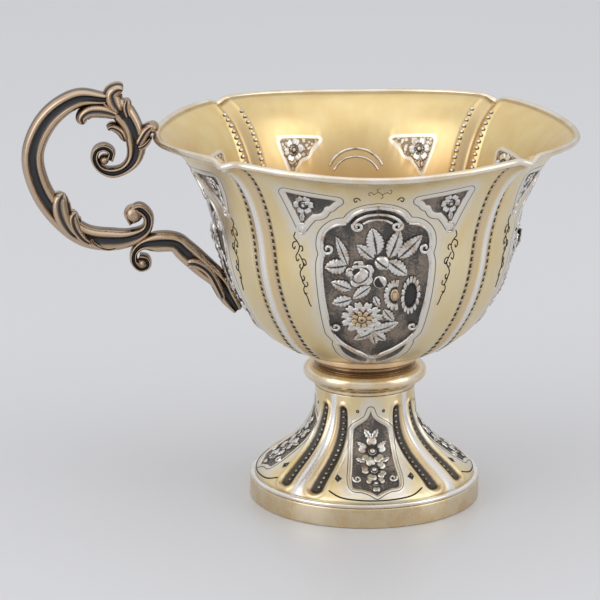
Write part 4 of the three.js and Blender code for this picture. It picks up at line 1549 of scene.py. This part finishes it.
# %% Handle routes
HANDLE_REACH = 26.02
ROUTE_STEP = HANDLE_REACH / 26
HANDLE_DEPTH = 5.6
STRAND_WIDTH = 5.0
LEAF_DEPTH = 7.0
RIM_ANCHOR = 48.6
C_ROUTE = [
    (9.6, 9.3, 2.5), (15.8, 9.4, 4.25), (22.4, 4.8, 5), (25.98, -2.9, 5), (24.9, -10.1, 5),
    (21.1, -16.7, 5),
    (15.0, -21.9, 5), (8.5, -23.0, 5), (4.0, -22.4, 3.75), (0.9, -20.5, 2.5), (0.5, -17.7, 2.5),
    (2.5, -15.8, 2.5),
    (4.8, -17.3, 1.8), (4.0, -19.2, 1.8),
]
TOP_ROUTE = [
    (9.6, 9.0, 2.5), (6.6, 7.0, 5), (4.0, 3.3, 4.75), (2.9, -1.2, 4.5), (3.6, -4.6, 3.5),
    (5.6, -6.7, 2.5),
    (8.4, -7.5, 2.5), (11.1, -6.5, 1.8), (12.3, -4.2, 1.8), (11.7, -2.3, 1.8), (10.0, -1.7, 1.8),
    (8.5, -2.8, 1.8),
    (8.9, -4.6, 1.8),
]
ARCH_ROUTE = [
    (2.6, -27.2, 1.8), (1.0, -27.6, 1.8), (0.8, -29.0, 1.8), (2.3, -29.6, 1.8), (3.8, -28.1, 1.8),
    (3.7, -25.9, 1.8),
    (2.0, -24.2, 2.5), (-1.0, -23.7, 4.5), (-5.6, -23.9, 4.5),
]
C_LEAVES = [
    [(15.5, -22.9, 1.5), (18.2, -20.4, 3.6), (19.9, -16.9, 5.0), (20.2, -13.9, 4.6), (19.4, -12.2, 3.2)],
    [(12.8, -24.0, 1.2), (15.2, -22.3, 2.8), (16.9, -19.7, 3.6), (17.2, -17.5, 3.2), (16.6, -16.6, 2.2)],
    [(7.0, -24.2, 1.0), (9.3, -24.8, 1.4), (11.5, -24.2, 1.6), (13.0, -23.0, 1.3), (13.3, -22.0, 0.9)],
]
TOP_LEAVES = [
    [(6.0, 6.0, 2.5), (7.6, 8.4, 4.2), (8.0, 10.4, 4.3), (6.8, 11.5, 3.2), (5.6, 11.3, 2.2)],
    [(4.4, 5.0, 2.0), (5.0, 7.4, 2.6), (4.8, 9.2, 1.8)],
    [(6.0, 5.2, 2.0), (9.6, 6.6, 3.6), (13.2, 6.6, 3.6), (14.9, 5.0, 3.0), (14.3, 3.6, 1.8)],
    [(2.8, -1.5, 2.4), (1.7, 0.4, 3.0), (0.7, 2.0, 2.9), (-0.3, 2.9, 2.2), (-1.0, 2.8, 1.6)],
    [(2.9, -1.8, 2.2), (1.3, -1.3, 1.9), (0.2, -0.2, 1.5), (-0.4, 0.7, 1.0)],
    [(5.2, -0.5, 1.6), (6.4, 2.0, 2.4), (8.4, 3.0, 2.0), (9.3, 2.4, 1.4)],
]
BRACKET_LEAF = [
    (-7.6, -28.6, 3.2), (-10.0, -28.4, 3.4), (-12.9, -30.2, 3.2), (-15.1, -34.0, 3.0), (-16.7, -38.0, 2.2),
]
C_KNOBS = [(3.8, -17.1, 2.2)]
TOP_KNOBS = [(10.1, -4.5, 1.2), (-0.8, 2.7, 1.4)]
BRACKET_KNOBS = [(1.9, -28.3, 1.2)]


def from_rim(route):
    return np.array([(RIM_ANCHOR + o * ROUTE_STEP, RIM_Z + u * ROUTE_STEP, w) for o, u, w in route])


def bracket_route():
    """The bracket's small scroll, a bowed descent, and its seam along the bowl's wall."""
    arch = from_rim(ARCH_ROUTE)
    above = [(16.0, 4.25), (12.8, 4.25), (9.6, 2.5)]
    seam = np.array([(bowl_shell.radius(SEAT_Z + a) + 1.9, SEAT_Z + a, width) for a, width in above])
    descent = [arch[-1] + (seam[0] - arch[-1]) * share + (1.2, 1.2, 0) for share in (1 / 3, 2 / 3)]
    descent = np.array(descent)
    descent[:, 2] = STRAND_WIDTH
    return np.vstack([arch, descent, seam])


print(len(C_ROUTE) + len(TOP_ROUTE) + len(bracket_route()), "points on the three routes")

# %% [markdown]
# A strand turns a route into a path with widths and depths. A leaf is rounded at both ends, and a
# knob is a strand so short that it is a ball.

# %% Strands, knobs and sections
def strand(route, depth, steps=12, rounded=False):
    """Path, half widths and depth ratios of a strand, from points of (out, up, width)."""
    out, up, width = smooth_path(route, steps).T
    taper = 0.75 + 0.25 * np.minimum(1, width / STRAND_WIDTH)
    path = np.stack([-out, 0 * out, up], -1)
    ratio = depth / width * taper
    if rounded:
        share = np.abs(np.linspace(-1, 1, len(width)))
        tip = np.clip((share - 0.7) / 0.3, 0, 1)
        width = width * np.sqrt(np.clip(1 - tip ** 2, 0.02, 1))
    return path, width / 2, ratio


def knob(out, up, radius):
    """A ball in the eye of a volute, as a short strand that swells and closes."""
    turn = np.linspace(-0.48, 0.48, 13) * np.pi
    centre = from_rim([(out, up, 0)])[0]
    path = np.stack([-centre[0] + radius * np.sin(turn), 0 * turn, centre[1] + 0 * turn], -1)
    return path, radius * np.cos(turn), np.full(len(turn), HANDLE_DEPTH / 2 / radius)


def channelled_section(count=40):
    """Two rounded beads with a hollow between them on each cheek; shade is deepest in the hollow, and a
    painted shade darkens the outer edges.
    """
    turn = np.linspace(0, 2 * np.pi, count, endpoint=False)
    x = np.sign(np.cos(turn)) * np.abs(np.cos(turn)) ** 0.8
    hollow = np.exp(-(x / 0.36) ** 4)
    y = np.sign(np.sin(turn)) * np.abs(np.sin(turn)) ** 0.7 * (1 - 0.42 * hollow)
    # Painted shade along the bars' outer edges.
    edge = 0.5 * smooth(np.abs(x), 0.86, 1)
    return np.stack([x, y], -1), np.maximum(hollow, edge)


def fluted_section(count=60, flutes=6):
    turn = np.linspace(0, 2 * np.pi, count, endpoint=False)
    groove = (0.5 - 0.5 * np.cos(flutes * turn)) ** 3
    radius = 1 - 0.16 * groove
    return np.stack([radius * np.cos(turn), radius * np.sin(turn)], -1), groove


print("handle sections ready")

# %% [markdown]
# Each casting is made of bars, leaves and balls, three sweeps with three sections, and its bars
# stand for the solid.

# %% The three castings
def casting(name, route, leaf_routes, knobs, *nodes):
    bars = [strand(route, HANDLE_DEPTH)]
    leaves = [strand(from_rim(one), LEAF_DEPTH, rounded=True) for one in leaf_routes]
    balls = [knob(*one) for one in knobs]
    for kind, group, section in (
        ("bars", bars, channelled_section()),
        ("leaves", leaves, fluted_section()),
        ("balls", balls, (round_section(24), np.full(24, 0.15))),
    ):
        paths, sizes, depths = zip(*group)
        obj = sweep(f"{name}_{kind}", paths, sizes, *section, patina, list(depths))
        finish_piece(obj, patina, "patinated", *(nodes if kind == "bars" else ()))


casting("handle_c", from_rim(C_ROUTE), C_LEAVES, C_KNOBS, "handle_c_scroll")
casting("handle_top", from_rim(TOP_ROUTE), TOP_LEAVES, TOP_KNOBS, "handle_top_scroll")
casting("handle_foot", bracket_route(), [BRACKET_LEAF], BRACKET_KNOBS, "handle_bracket")
